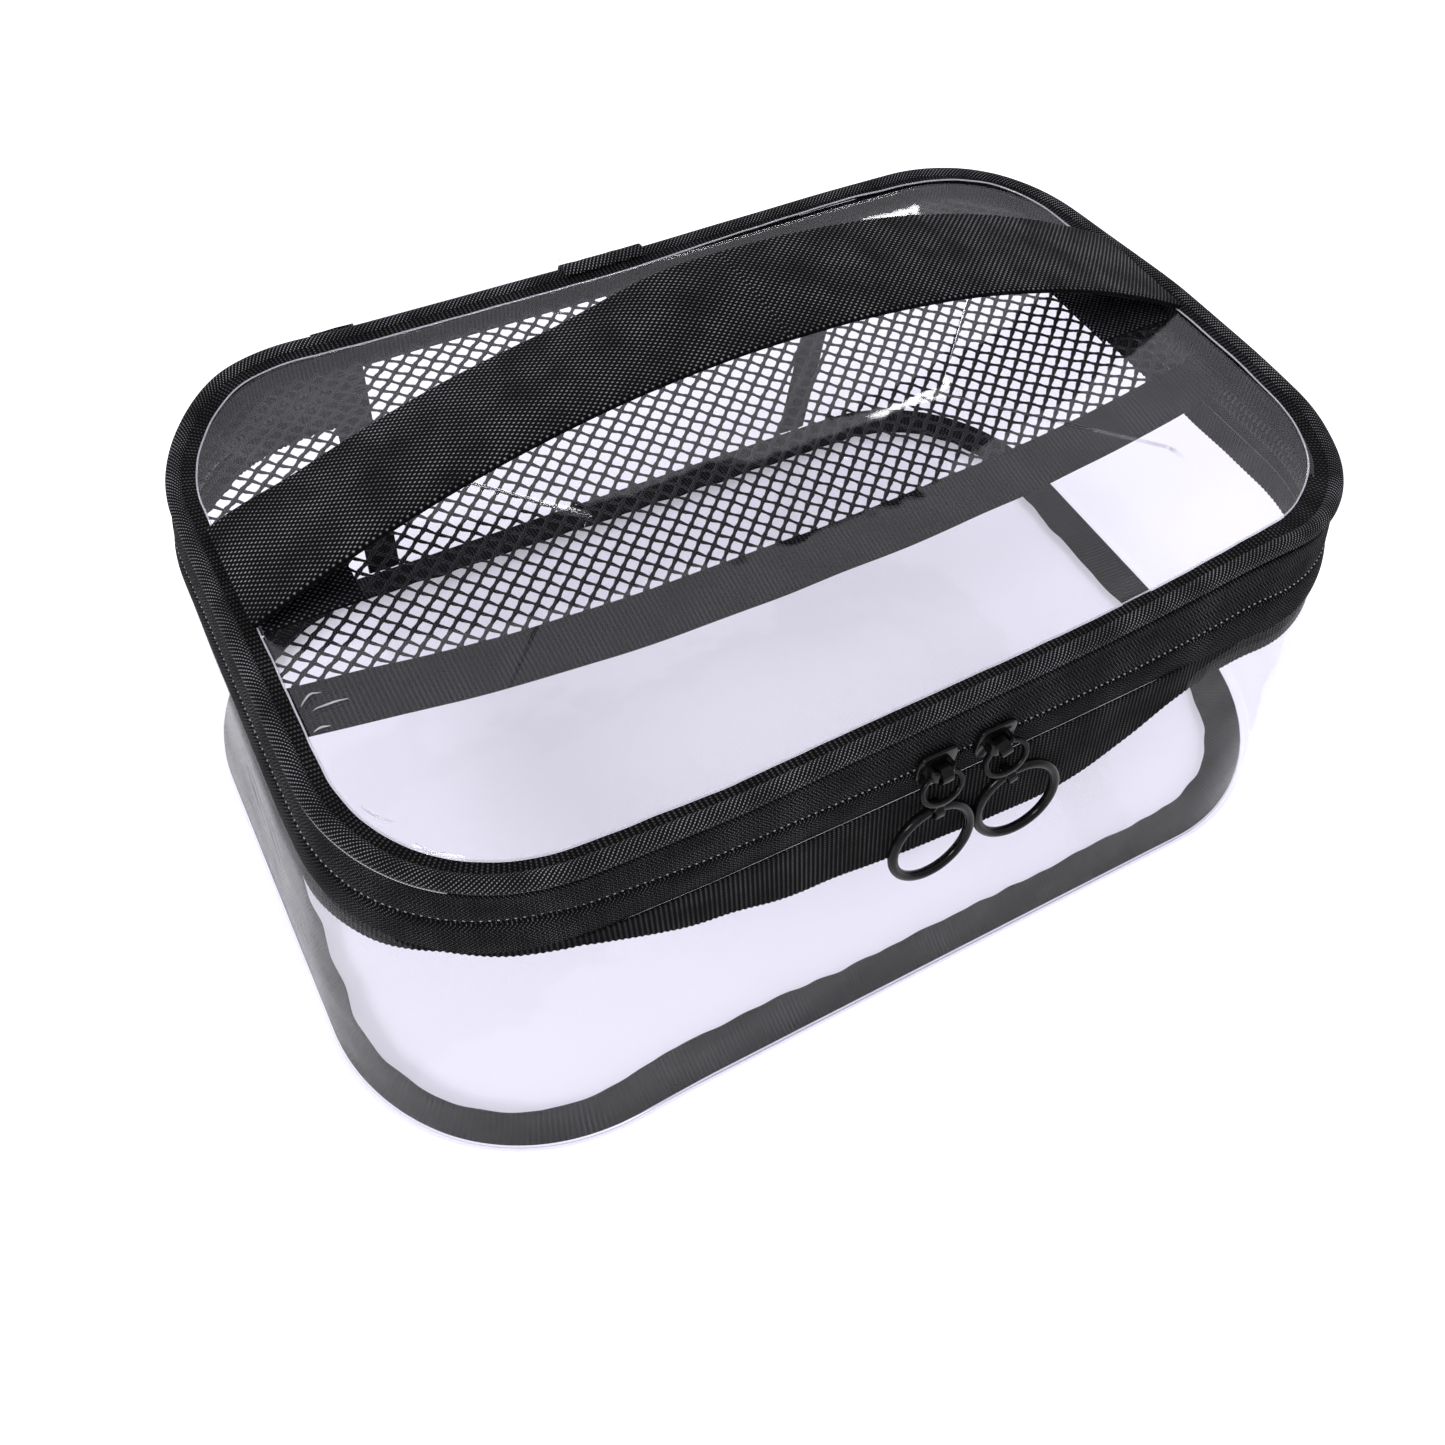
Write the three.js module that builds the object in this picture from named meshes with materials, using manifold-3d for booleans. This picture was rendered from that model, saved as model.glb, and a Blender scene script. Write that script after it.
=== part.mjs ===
// Clear zip-top makeup bag, in millimetres, +Z up.
// Origin: centre of the bottom panel's underside. +X runs along the length, the zip sliders are on
// the -Y side and the lid folds back about its rear edge on the +Y side.
import * as THREE from 'three';
import { mergeVertices } from 'three/addons/utils/BufferGeometryUtils.js';
import Module from 'manifold-3d';

const wasm = await Module();
wasm.setup();

// ---- driving dimensions ----
const RIM = { halfLength: 120, halfWidth: 76.5, corner: 40.5, shiftY: 0 };
const BASE = { halfLength: 127, halfWidth: 86, corner: 50, shiftY: -2 };
const CORNER_STEPS = 8;
const FLARE_TOP = 66;
const FLARE_POWER = 1.4;

const PIPING_Z = 88;
const PIPING_RADIUS = 2.8;
const PIPING_SIDES = 10;
const PANEL_THICKNESS = 1;
const SHEET_GAP = 0.3;

const SLIT_Z = 75.5;
const SLIT_HALF = 0.5;
const TAPE_OUTER = -1.2;
const TAPE_THICKNESS = 1;
const TAPE_TOP_Z = 84.8;
const TAPE_BOTTOM_Z = 66.2;
const COIL_OUTER = -2.5;
const COIL_DEPTH = 2.2;
const COIL_HEIGHT = 2;

const WEBBING_TOP_Z = 65.9;
const WEBBING_BOTTOM_Z = 50;
const WALL_BOTTOM_Z = PANEL_THICKNESS + SHEET_GAP;
const REAR_WALL_TOP_Z = 83.5;
const LID_BINDING_BOTTOM_Z = 79.4;
const WALL_LEVELS = [12, 26, 40, 54, FLARE_TOP];
const WALL_OUTER = TAPE_OUTER - SHEET_GAP;
const BOTTOM_BINDING = { outer: -3.6, inner: -12.2, thickness: 1.2 };

const SEAM_X = { left: -70.5, right: 65.5 };
const SEAM_TAPE = { width: 9, thickness: 0.8, bottomZ: 2.9 };
const ZIP_END_PAST_SEAM = 6.5;
const ZIP_TAB = { width: 10, thickness: 0.8, y: 77, bottomZ: 84.2, topZ: { left: 90.5, right: 87 } };

const LID_PANEL_Z = PIPING_Z - 0.7;
const LID_BINDING = { outer: -2.6, inner: -3.8 };
const EDGE_TAPE = { width: 3.2, thickness: 0.6 };
const PIPING_WRAP = { fromX: -15, toX: 6, fromDegrees: -30, toDegrees: 145, thickness: 0.7 };

const STRAP = { width: 30, thickness: 1.6, centreY: 14, end: 113.6, root: 60, arch: 33, restZ: 89.6 };
const TAIL = { fromX: 92, toX: 113, hem: 1, bottomZ: 86.2, thickness: 0.8 };
const POCKET = { z: 82.2, thickness: 0.6, sag: 12, mouthY: -10, inset: -5.6 };
const POCKET_BINDING = { width: 12, thickness: 1.2 };

const SLIDER_X = { left: -5.6, right: 8.6 };
const SLIDER = { length: 12.6, height: 9.8, rearHeight: 7.8, corner: 2.4, plate: 1.6, rearPlate: 1.4 };
const SLIDER_WEB = { length: 8, thickness: 0.4 };
const CROWN = { halfLength: 4.2, leg: 1.1, bar: 1.2, width: 1.2, stand: 2.9 };
const LINK = { outerRadius: 2.35, holeRadius: 1.45, width: 3.4, drop: 10.9, lean: 1.1 };
const RING = { radius: 8.9, wire: 1.1, tilt: 12 };
const PULL_SWING = { left: 14.6, right: -6.3 };

// ---- materials, one per finish ----
const finish = (color, roughness, metalness = 0) => ({ color, roughness, metalness });
const CLEAR = finish(0xe6e6f0, 0.12);
const TWILL = finish(0x141416, 0.75);
const GROSGRAIN = finish(0x1b1b1e, 0.8);
const WEBBING = finish(0x101012, 0.85);
const MESH = finish(0x0e0e10, 0.9);
const METAL = finish(0x0b0b0d, 0.25, 0.8);

const bag = new THREE.Group();

function addPiece(name, geometry, look, parent = bag) {
  const piece = new THREE.Mesh(geometry, new THREE.MeshStandardMaterial(look));
  piece.name = name;
  parent.add(piece);
  return piece;
}

// ---- outlines ----
// A station is a point on the rim outline, the matching point on the base outline and their shared
// outward normal. The bag's sides are described by an offset along that normal and a height.
function cornerPoint(outline, signX, signY, angle) {
  const x = signX * (outline.halfLength - outline.corner) + outline.corner * Math.cos(angle);
  const y = signY * (outline.halfWidth - outline.corner) + outline.corner * Math.sin(angle);
  return new THREE.Vector2(x, y + outline.shiftY);
}

function cornerStations() {
  const corners = [[1, 1, 90], [1, -1, 0], [-1, -1, -90], [-1, 1, -180]];
  const stations = [];
  for (const [signX, signY, startDegrees] of corners) {
    for (let step = 0; step <= CORNER_STEPS; step += 1) {
      const angle = THREE.MathUtils.degToRad(startDegrees - (90 * step) / CORNER_STEPS);
      stations.push({
        rim: cornerPoint(RIM, signX, signY, angle),
        base: cornerPoint(BASE, signX, signY, angle),
        normal: new THREE.Vector2(Math.cos(angle), Math.sin(angle)),
      });
    }
  }
  return stations;
}

function rearStation(x) {
  return {
    rim: new THREE.Vector2(x, RIM.halfWidth + RIM.shiftY),
    base: new THREE.Vector2(x, BASE.halfWidth + BASE.shiftY),
    normal: new THREE.Vector2(0, 1),
  };
}

const LOOP = cornerStations();
const aroundFront = (rightX, leftX) => [rearStation(rightX), ...LOOP, rearStation(leftX)];

// Share of the way from the rim outline out to the base outline at a height.
function flareAt(z) {
  return z >= FLARE_TOP ? 0 : 1 - (z / FLARE_TOP) ** FLARE_POWER;
}

function sidePoint(station, offset, z) {
  const flat = station.rim.clone().lerp(station.base, flareAt(z)).addScaledVector(station.normal, offset);
  return new THREE.Vector3(flat.x, flat.y, z);
}

// ---- solids ----
// Joins equal sections, each a loop of an even number of points whose first half is matched, in
// reverse, by its second half. A closed loft has no ends; an open one is capped strip by strip.
function loft(sections, closed) {
  const size = sections[0].length;
  const positions = sections.flat().flatMap((point) => [point.x, point.y, point.z]);
  const faces = [];
  const quad = (a, b, c, d) => faces.push(a, b, c, a, c, d);
  const spans = closed ? sections.length : sections.length - 1;
  for (let i = 0; i < spans; i += 1) {
    const here = i * size;
    const next = ((i + 1) % sections.length) * size;
    for (let k = 0; k < size; k += 1) {
      const after = (k + 1) % size;
      quad(here + k, here + after, next + after, next + k);
    }
  }
  if (!closed) {
    const last = (sections.length - 1) * size;
    for (let k = 0; k < size / 2 - 1; k += 1) {
      quad(k, size - 1 - k, size - 2 - k, k + 1);
      quad(last + k, last + k + 1, last + size - 2 - k, last + size - 1 - k);
    }
  }
  return outward(solidFrom(positions, faces));
}

function solidFrom(positions, faces) {
  const geometry = new THREE.BufferGeometry();
  geometry.setAttribute('position', new THREE.Float32BufferAttribute(positions, 3));
  geometry.setIndex(faces);
  return geometry;
}

function signedVolume(geometry) {
  const points = geometry.getAttribute('position');
  const index = geometry.getIndex();
  const [a, b, c] = [new THREE.Vector3(), new THREE.Vector3(), new THREE.Vector3()];
  let volume = 0;
  for (let i = 0; i < index.count; i += 3) {
    a.fromBufferAttribute(points, index.getX(i));
    b.fromBufferAttribute(points, index.getX(i + 1));
    c.fromBufferAttribute(points, index.getX(i + 2));
    volume += a.dot(b.cross(c));
  }
  return volume;
}

// Turns the faces round where a solid was built inside out.
function outward(geometry) {
  if (signedVolume(geometry) < 0) {
    const faces = Array.from(geometry.getIndex().array);
    for (let i = 0; i < faces.length; i += 3) {
      [faces[i + 1], faces[i + 2]] = [faces[i + 2], faces[i + 1]];
    }
    geometry.setIndex(faces);
  }
  geometry.computeVertexNormals();
  return geometry;
}

// A band that follows the bag's side. The profile is a list of [offset, z] corners.
function band(stations, profile, closed) {
  const sections = stations.map((station) => profile.map(([offset, z]) => sidePoint(station, offset, z)));
  return loft(sections, closed);
}

const rectangle = (outer, inner, low, high) => [[outer, low], [outer, high], [inner, high], [inner, low]];

function wallProfile(topZ) {
  const heights = WALL_LEVELS.filter((z) => z < topZ);
  const outer = [WALL_BOTTOM_Z, ...heights, topZ].map((z) => [WALL_OUTER, z]);
  const inner = outer.map(([offset, z]) => [offset - PANEL_THICKNESS, z]).reverse();
  return [...outer, ...inner];
}

function arcProfile(radius, startDegrees, endDegrees, steps) {
  const points = [];
  for (let step = 0; step <= steps; step += 1) {
    const angle = THREE.MathUtils.degToRad(startDegrees + ((endDegrees - startDegrees) * step) / steps);
    points.push([radius * Math.cos(angle) - PIPING_RADIUS, PIPING_Z + radius * Math.sin(angle)]);
  }
  return points;
}

function roundedShape(outline, inset) {
  const shape = new THREE.Shape();
  const points = LOOP.map((station) => {
    const source = outline === RIM ? station.rim : station.base;
    return source.clone().addScaledVector(station.normal, inset);
  });
  shape.setFromPoints(points);
  return shape;
}

function plate(shape, bottomZ, thickness) {
  const geometry = new THREE.ExtrudeGeometry(shape, { depth: thickness, bevelEnabled: false });
  geometry.translate(0, 0, bottomZ);
  return geometry;
}

function box(x0, x1, y0, y1, z0, z1) {
  const geometry = new THREE.BoxGeometry(x1 - x0, y1 - y0, z1 - z0);
  geometry.translate((x0 + x1) / 2, (y0 + y1) / 2, (z0 + z1) / 2);
  return geometry;
}

function toManifold(geometry) {
  const bare = geometry.clone();
  bare.deleteAttribute('normal');
  bare.deleteAttribute('uv');
  const merged = mergeVertices(bare, 1e-4);
  const vertProperties = new Float32Array(merged.getAttribute('position').array);
  const triVerts = new Uint32Array(merged.getIndex().array);
  return new wasm.Manifold(new wasm.Mesh({ numProp: 3, vertProperties, triVerts }));
}

function joined(geometries) {
  const solid = geometries.map(toManifold).reduce((whole, piece) => whole.add(piece));
  const mesh = solid.getMesh();
  const geometry = solidFrom(Array.from(mesh.vertProperties), Array.from(mesh.triVerts));
  geometry.computeVertexNormals();
  return geometry;
}

// ---- bag body: clear panels, their seams and the lower half of the zip ----
function addBody() {
  addPiece('bottom_panel', plate(roundedShape(BASE, TAPE_OUTER), 0, PANEL_THICKNESS), CLEAR);
  const bindingTop = WALL_BOTTOM_Z + BOTTOM_BINDING.thickness;
  const binding = rectangle(BOTTOM_BINDING.outer, BOTTOM_BINDING.inner, WALL_BOTTOM_Z, bindingTop);
  addPiece('bottom_binding', band(LOOP, binding, true), GROSGRAIN);

  const frontWall = aroundFront(SEAM_X.right + SHEET_GAP, SEAM_X.left - SHEET_GAP);
  addPiece('front_wall', band(frontWall, wallProfile(WEBBING_TOP_Z), false), CLEAR);
  const rearWall = [SEAM_X.left, SEAM_X.right].map(rearStation);
  addPiece('rear_wall', band(rearWall, wallProfile(REAR_WALL_TOP_Z), false), CLEAR);

  const seamOuter = WALL_OUTER - PANEL_THICKNESS - SHEET_GAP;
  const seamInner = seamOuter - SEAM_TAPE.thickness;
  for (const [side, centreX] of Object.entries(SEAM_X)) {
    const ends = [-0.5, 0.5].map((share) => rearStation(centreX + share * SEAM_TAPE.width));
    const profile = wallProfile(LID_BINDING_BOTTOM_Z - SHEET_GAP).map(([offset, z]) => {
      const facesOut = offset === WALL_OUTER;
      return [facesOut ? seamOuter : seamInner, Math.max(z, SEAM_TAPE.bottomZ)];
    });
    addPiece(`rear_seam_tape_${side}`, band(ends, profile, false), GROSGRAIN);
  }

  const zipEnds = [SEAM_X.right + ZIP_END_PAST_SEAM, SEAM_X.left - ZIP_END_PAST_SEAM];
  const webbingProfile = rectangle(TAPE_OUTER + 0.9, TAPE_OUTER, WEBBING_BOTTOM_Z, WEBBING_TOP_Z);
  addPiece('wall_top_webbing', band(aroundFront(...zipEnds), webbingProfile, false), GROSGRAIN);
  const lowSlit = SLIT_Z - SLIT_HALF;
  const lowTape = rectangle(TAPE_OUTER, TAPE_OUTER - TAPE_THICKNESS, TAPE_BOTTOM_Z, lowSlit);
  addPiece('lower_zip_tape', band(aroundFront(...zipEnds), lowTape, false), TWILL);
  const lowCoil = rectangle(COIL_OUTER, COIL_OUTER - COIL_DEPTH, lowSlit - COIL_HEIGHT, lowSlit);
  addPiece('lower_zip_coil', band(aroundFront(...zipEnds), lowCoil, false), TWILL);
}

// ---- lid: clear panel, piping, upper half of the zip and the handle's sewn ends ----
function addLid() {
  const zipEnds = [SEAM_X.right + ZIP_END_PAST_SEAM, SEAM_X.left - ZIP_END_PAST_SEAM];
  const highSlit = SLIT_Z + SLIT_HALF;
  const highTape = rectangle(TAPE_OUTER, TAPE_OUTER - TAPE_THICKNESS, highSlit, TAPE_TOP_Z);
  addPiece('upper_zip_tape', band(aroundFront(...zipEnds), highTape, false), TWILL);
  const highCoil = rectangle(COIL_OUTER, COIL_OUTER - COIL_DEPTH, highSlit, highSlit + COIL_HEIGHT);
  addPiece('upper_zip_coil', band(aroundFront(...zipEnds), highCoil, false), TWILL);

  const panelInset = -2 * PIPING_RADIUS - SHEET_GAP;
  addPiece('lid_panel', plate(roundedShape(RIM, panelInset), LID_PANEL_Z, PANEL_THICKNESS), CLEAR);
  const circle = arcProfile(PIPING_RADIUS, 0, 360 - 360 / PIPING_SIDES, PIPING_SIDES - 1);
  addPiece('lid_piping', band(LOOP, circle, true), TWILL);
  const edgeZ = LID_PANEL_Z + PANEL_THICKNESS + SHEET_GAP;
  const edgeTop = edgeZ + EDGE_TAPE.thickness;
  const edgeTape = rectangle(panelInset, panelInset - EDGE_TAPE.width, edgeZ, edgeTop);
  addPiece('lid_edge_tape', band(LOOP, edgeTape, true), GROSGRAIN);
  const binding = rectangle(LID_BINDING.outer, LID_BINDING.inner, LID_BINDING_BOTTOM_Z, TAPE_TOP_Z);
  addPiece('lid_inner_binding', band(LOOP, binding, true), GROSGRAIN);

  const [from, to] = [PIPING_WRAP.fromDegrees, PIPING_WRAP.toDegrees];
  const wrapInner = arcProfile(PIPING_RADIUS + SHEET_GAP, from, to, 9);
  const wrapOuter = arcProfile(PIPING_RADIUS + SHEET_GAP + PIPING_WRAP.thickness, from, to, 9);
  const wrapEnds = [PIPING_WRAP.fromX, PIPING_WRAP.toX].map(rearStation);
  addPiece('piping_join_wrap', band(wrapEnds, [...wrapOuter, ...wrapInner.reverse()], false), TWILL);

  const tabBack = ZIP_TAB.y + ZIP_TAB.thickness;
  for (const [side, centreX] of Object.entries(SEAM_X)) {
    const [fromX, toX] = [centreX - ZIP_TAB.width / 2, centreX + ZIP_TAB.width / 2];
    const tab = box(fromX, toX, ZIP_TAB.y, tabBack, ZIP_TAB.bottomZ, ZIP_TAB.topZ[side]);
    addPiece(`zip_end_tab_${side}`, tab, TWILL);
  }
}

// ---- webbing handle: an arch sewn flat to the lid at both ends ----
function strapSection(x) {
  const rise = STRAP.arch * Math.cos((Math.PI * x) / (2 * STRAP.end + 2.8)) ** 2;
  const low = STRAP.restZ + rise;
  const near = STRAP.centreY - STRAP.width / 2;
  const far = STRAP.centreY + STRAP.width / 2;
  return [[near, low], [near, low + STRAP.thickness], [far, low + STRAP.thickness], [far, low]]
    .map(([y, z]) => new THREE.Vector3(x, y, z));
}

function strapLength(fromX, toX, steps) {
  const sections = [];
  for (let step = 0; step <= steps; step += 1) {
    sections.push(strapSection(fromX + ((toX - fromX) * step) / steps));
  }
  return loft(sections, false);
}

function addHandle() {
  const gap = SHEET_GAP;
  addPiece('handle_strap', strapLength(-STRAP.root, STRAP.root, 16), WEBBING);
  addPiece('handle_root_left', strapLength(-STRAP.end, -STRAP.root - gap, 7), WEBBING);
  addPiece('handle_root_right', strapLength(STRAP.root + gap, STRAP.end, 7), WEBBING);
  const near = STRAP.centreY - STRAP.width / 2 + TAIL.hem;
  const far = STRAP.centreY + STRAP.width / 2 - TAIL.hem;
  const top = TAIL.bottomZ + TAIL.thickness;
  addPiece('handle_tail_left', box(-TAIL.toX, -TAIL.fromX, near, far, TAIL.bottomZ, top), WEBBING);
  addPiece('handle_tail_right', box(TAIL.fromX, TAIL.toX, near, far, TAIL.bottomZ, top), WEBBING);
}

// ---- mesh pocket under the lid, with a slack bound mouth ----
function pocketDrop(x, y) {
  const acrossShare = Math.cos((Math.PI * x) / (2 * RIM.halfLength));
  const depthShare = (RIM.halfWidth - y) / (RIM.halfWidth - POCKET.mouthY);
  return POCKET.sag * Math.max(acrossShare, 0) ** 2 * Math.min(Math.max(depthShare, 0), 1.1) ** 1.5;
}

function pocketHalfSpan(y) {
  const limit = RIM.halfLength + POCKET.inset;
  const radius = RIM.corner + POCKET.inset;
  const past = y - (RIM.halfWidth + POCKET.inset - radius);
  return past <= 0 ? limit : limit - radius + Math.sqrt(Math.max(radius ** 2 - past ** 2, 0));
}

// Sections run front to back; each is a thin sheet across the bag that follows the pocket's sag.
function pocketSheet(fromY, toY, rows, topZ, thickness) {
  const columns = 14;
  const sections = [];
  for (let row = 0; row <= rows; row += 1) {
    const y = fromY + ((toY - fromY) * row) / rows;
    const top = [];
    for (let column = 0; column <= columns; column += 1) {
      const x = pocketHalfSpan(y) * (-1 + (2 * column) / columns);
      top.push(new THREE.Vector3(x, y, topZ - pocketDrop(x, y)));
    }
    const bottom = top.map((point) => point.clone().setZ(point.z - thickness)).reverse();
    sections.push([...top, ...bottom]);
  }
  return loft(sections, false);
}

function addPocket() {
  const rearY = RIM.halfWidth + POCKET.inset - SHEET_GAP;
  const meshTop = POCKET.z + POCKET.thickness / 2;
  addPiece('pocket_mesh', pocketSheet(POCKET.mouthY, rearY, 9, meshTop, POCKET.thickness), MESH);
  const bindingBack = POCKET.mouthY - SHEET_GAP;
  const bindingFront = POCKET.mouthY - POCKET_BINDING.width;
  const bindingTop = POCKET.z + POCKET_BINDING.thickness / 2;
  const binding = pocketSheet(bindingFront, bindingBack, 1, bindingTop, POCKET_BINDING.thickness);
  addPiece('pocket_binding', binding, GROSGRAIN);
}

// ---- zip sliders, each with its crown, link and ring ----
// Slider coordinates: x along the zip, y inwards, z up, with the origin on the tape's outer face.
const tapeFaceY = -(RIM.halfWidth + TAPE_OUTER);
const plateFaceY = -SHEET_GAP - SLIDER.plate;
const barY = plateFaceY - CROWN.stand;

function roundedPlate(length, height, y0, y1) {
  const shape = new THREE.Shape();
  const radius = SLIDER.corner;
  const [a, b] = [length / 2 - radius, height / 2 - radius];
  for (const [signX, signZ, start] of [[1, 1, 0], [-1, 1, 90], [-1, -1, 180], [1, -1, 270]]) {
    const startAngle = THREE.MathUtils.degToRad(start);
    shape.absarc(signX * a, signZ * b, radius, startAngle, startAngle + Math.PI / 2, false);
  }
  const options = { depth: y1 - y0, bevelEnabled: false, curveSegments: 4 };
  const geometry = new THREE.ExtrudeGeometry(shape, options);
  geometry.rotateX(Math.PI / 2);
  geometry.translate(0, y1, 0);
  return geometry;
}

function sliderBody() {
  const coilInner = TAPE_OUTER - COIL_OUTER + COIL_DEPTH;
  const rearNear = coilInner + SHEET_GAP;
  const rearFar = rearNear + SLIDER.rearPlate;
  const front = roundedPlate(SLIDER.length, SLIDER.height, plateFaceY, -SHEET_GAP);
  const rear = roundedPlate(SLIDER.length, SLIDER.rearHeight, rearNear, rearFar);
  const [halfWeb, halfThick] = [SLIDER_WEB.length / 2, SLIDER_WEB.thickness / 2];
  const bite = SLIDER.plate / 3;
  const web = box(-halfWeb, halfWeb, -SHEET_GAP - bite, rearNear + bite, -halfThick, halfThick);
  return joined([front, rear, web]);
}

function crownArch() {
  const footY = plateFaceY - SHEET_GAP;
  const topY = barY - CROWN.bar / 2;
  const halfWidth = CROWN.width / 2;
  const legs = [-1, 1].map((side) => {
    const outer = side * CROWN.halfLength;
    const inner = side * (CROWN.halfLength - CROWN.leg);
    return box(Math.min(outer, inner), Math.max(outer, inner), topY, footY, -halfWidth, halfWidth);
  });
  const bar = box(-CROWN.halfLength, CROWN.halfLength, topY, barY + CROWN.bar / 2, -halfWidth, halfWidth);
  return joined([...legs, bar]);
}

// A flat loop with an eye at each end, extruded along x: the upper eye hangs on the crown's bar.
function pullLink() {
  const angle = Math.atan2(LINK.lean, LINK.drop);
  const length = Math.hypot(LINK.lean, LINK.drop);
  const shape = new THREE.Shape();
  shape.absarc(0, 0, LINK.outerRadius, 0, Math.PI, false);
  shape.absarc(0, -length, LINK.outerRadius, Math.PI, 2 * Math.PI, false);
  shape.closePath();
  for (const centre of [0, -length]) {
    const eye = new THREE.Path();
    eye.absarc(0, centre, LINK.holeRadius, 0, 2 * Math.PI, true);
    shape.holes.push(eye);
  }
  const options = { depth: LINK.width, bevelEnabled: false, curveSegments: 8 };
  const geometry = new THREE.ExtrudeGeometry(shape, options);
  geometry.translate(0, 0, -LINK.width / 2);
  geometry.rotateZ(-angle);
  geometry.rotateY(Math.PI / 2);
  geometry.rotateX(Math.PI / 2);
  return geometry;
}

function pullRing() {
  const sides = 8;
  const sections = [];
  const turns = 24;
  for (let step = 0; step < turns; step += 1) {
    const around = (2 * Math.PI * step) / turns;
    const section = [];
    for (let side = 0; side < sides; side += 1) {
      const angle = (2 * Math.PI * side) / sides;
      const radius = RING.radius + RING.wire * Math.cos(angle);
      const point = new THREE.Vector3(radius * Math.cos(around), RING.wire * Math.sin(angle), 0);
      point.z = radius * Math.sin(around);
      section.push(point);
    }
    sections.push(section);
  }
  return loft(sections, true);
}

function addSlider(side) {
  const slider = new THREE.Group();
  slider.position.set(SLIDER_X[side], tapeFaceY, SLIT_Z);
  bag.add(slider);
  addPiece(`slider_body_${side}`, sliderBody(), METAL, slider);
  addPiece(`slider_crown_${side}`, crownArch(), METAL, slider);

  const pull = new THREE.Group();
  pull.position.set(0, barY, 0);
  pull.rotation.y = THREE.MathUtils.degToRad(PULL_SWING[side]);
  slider.add(pull);
  addPiece(`pull_link_${side}`, pullLink(), METAL, pull);

  const eye = new THREE.Group();
  eye.position.set(0, -LINK.lean, -LINK.drop);
  eye.rotation.x = THREE.MathUtils.degToRad(-RING.tilt);
  pull.add(eye);
  const ring = addPiece(`pull_ring_${side}`, pullRing(), METAL, eye);
  ring.position.set(0, 0, -RING.radius);
}

addBody();
addLid();
addHandle();
addPocket();
for (const side of Object.keys(SLIDER_X)) {
  addSlider(side);
}

export default bag;
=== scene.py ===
# Looks of the clear zip-top makeup bag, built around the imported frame.
# Row frame in metres, +Z up, front at -Y.
# Shapes are worked out in millimetres and scaled as they become meshes.
import math

import bpy
import numpy as np
from mathutils import Matrix, Vector, noise


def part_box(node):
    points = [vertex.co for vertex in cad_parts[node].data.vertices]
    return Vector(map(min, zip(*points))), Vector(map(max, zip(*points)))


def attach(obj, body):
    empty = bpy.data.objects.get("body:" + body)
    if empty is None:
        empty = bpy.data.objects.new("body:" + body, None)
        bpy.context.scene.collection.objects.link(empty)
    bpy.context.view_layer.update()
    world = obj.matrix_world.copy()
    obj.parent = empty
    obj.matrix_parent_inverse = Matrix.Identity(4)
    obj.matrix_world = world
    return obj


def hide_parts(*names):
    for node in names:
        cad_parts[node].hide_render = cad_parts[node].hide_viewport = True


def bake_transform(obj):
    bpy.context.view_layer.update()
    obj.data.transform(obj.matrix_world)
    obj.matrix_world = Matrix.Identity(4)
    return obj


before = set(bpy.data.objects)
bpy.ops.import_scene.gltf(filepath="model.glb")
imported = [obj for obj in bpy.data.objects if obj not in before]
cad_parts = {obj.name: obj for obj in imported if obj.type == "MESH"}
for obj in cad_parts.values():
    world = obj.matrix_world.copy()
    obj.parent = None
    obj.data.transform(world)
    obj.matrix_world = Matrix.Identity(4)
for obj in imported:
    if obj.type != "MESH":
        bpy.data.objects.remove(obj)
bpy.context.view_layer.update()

MM = 0.001
TURN = 2 * math.pi


def box_mm(node):
    low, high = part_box(node)
    return low / MM, high / MM


# ---- driving dimensions, in millimetres ----
RIM_CORNER = 40.5
BASE_CORNER = 50.0
FLARE_TOP = 84.0
FLARE_POWER = 1.05

PIPING_R = 1.8
PIPING_OUT = -2.7
PIPING_Z = 88.0
TAPE_OUT = -1.4
SLIT_Z = 74.2
WEBBING_TOP_Z = 69.0
SEAM_X = {"left": -70.5, "right": 65.5}
SEAM_TAPE_WIDTH = 9.0
ZIP_PAST_SEAM = 4.0
VINYL = 0.5
WALL_OUT = -1.6
HEM_OUT = -0.35
HEM_R = 1.6
WALL_TOP_Z = 70.0
LID_Z = box_mm("lid_panel")[0].z + 0.5

STRAP_WIDTH = 30.0
STRAP_Y = 14.0
STRAP_END = box_mm("handle_root_right")[1].x
STRAP_ARCH = 29.2
STRAP_REST_Z = 90.1
STRAP_THICK = 1.5

POCKET_Z = 82.2
POCKET_SAG = 12.0
POCKET_MOUTH_Y = -10.0
POCKET_BINDING = 12.0
POCKET_SIDE = 115.2
NET_PITCH_X = 4.7
NET_PITCH_Y = 4.25

SLIDER_X = {"left": -7.4, "right": 6.8}
SLIDER_Z = 75.5
RING_TILT = math.radians(12.0)
PULL_SWING = {"left": math.radians(1.0), "right": math.radians(-19.0)}
RING_R = 9.5
RING_WIRE = 1.1


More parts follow.
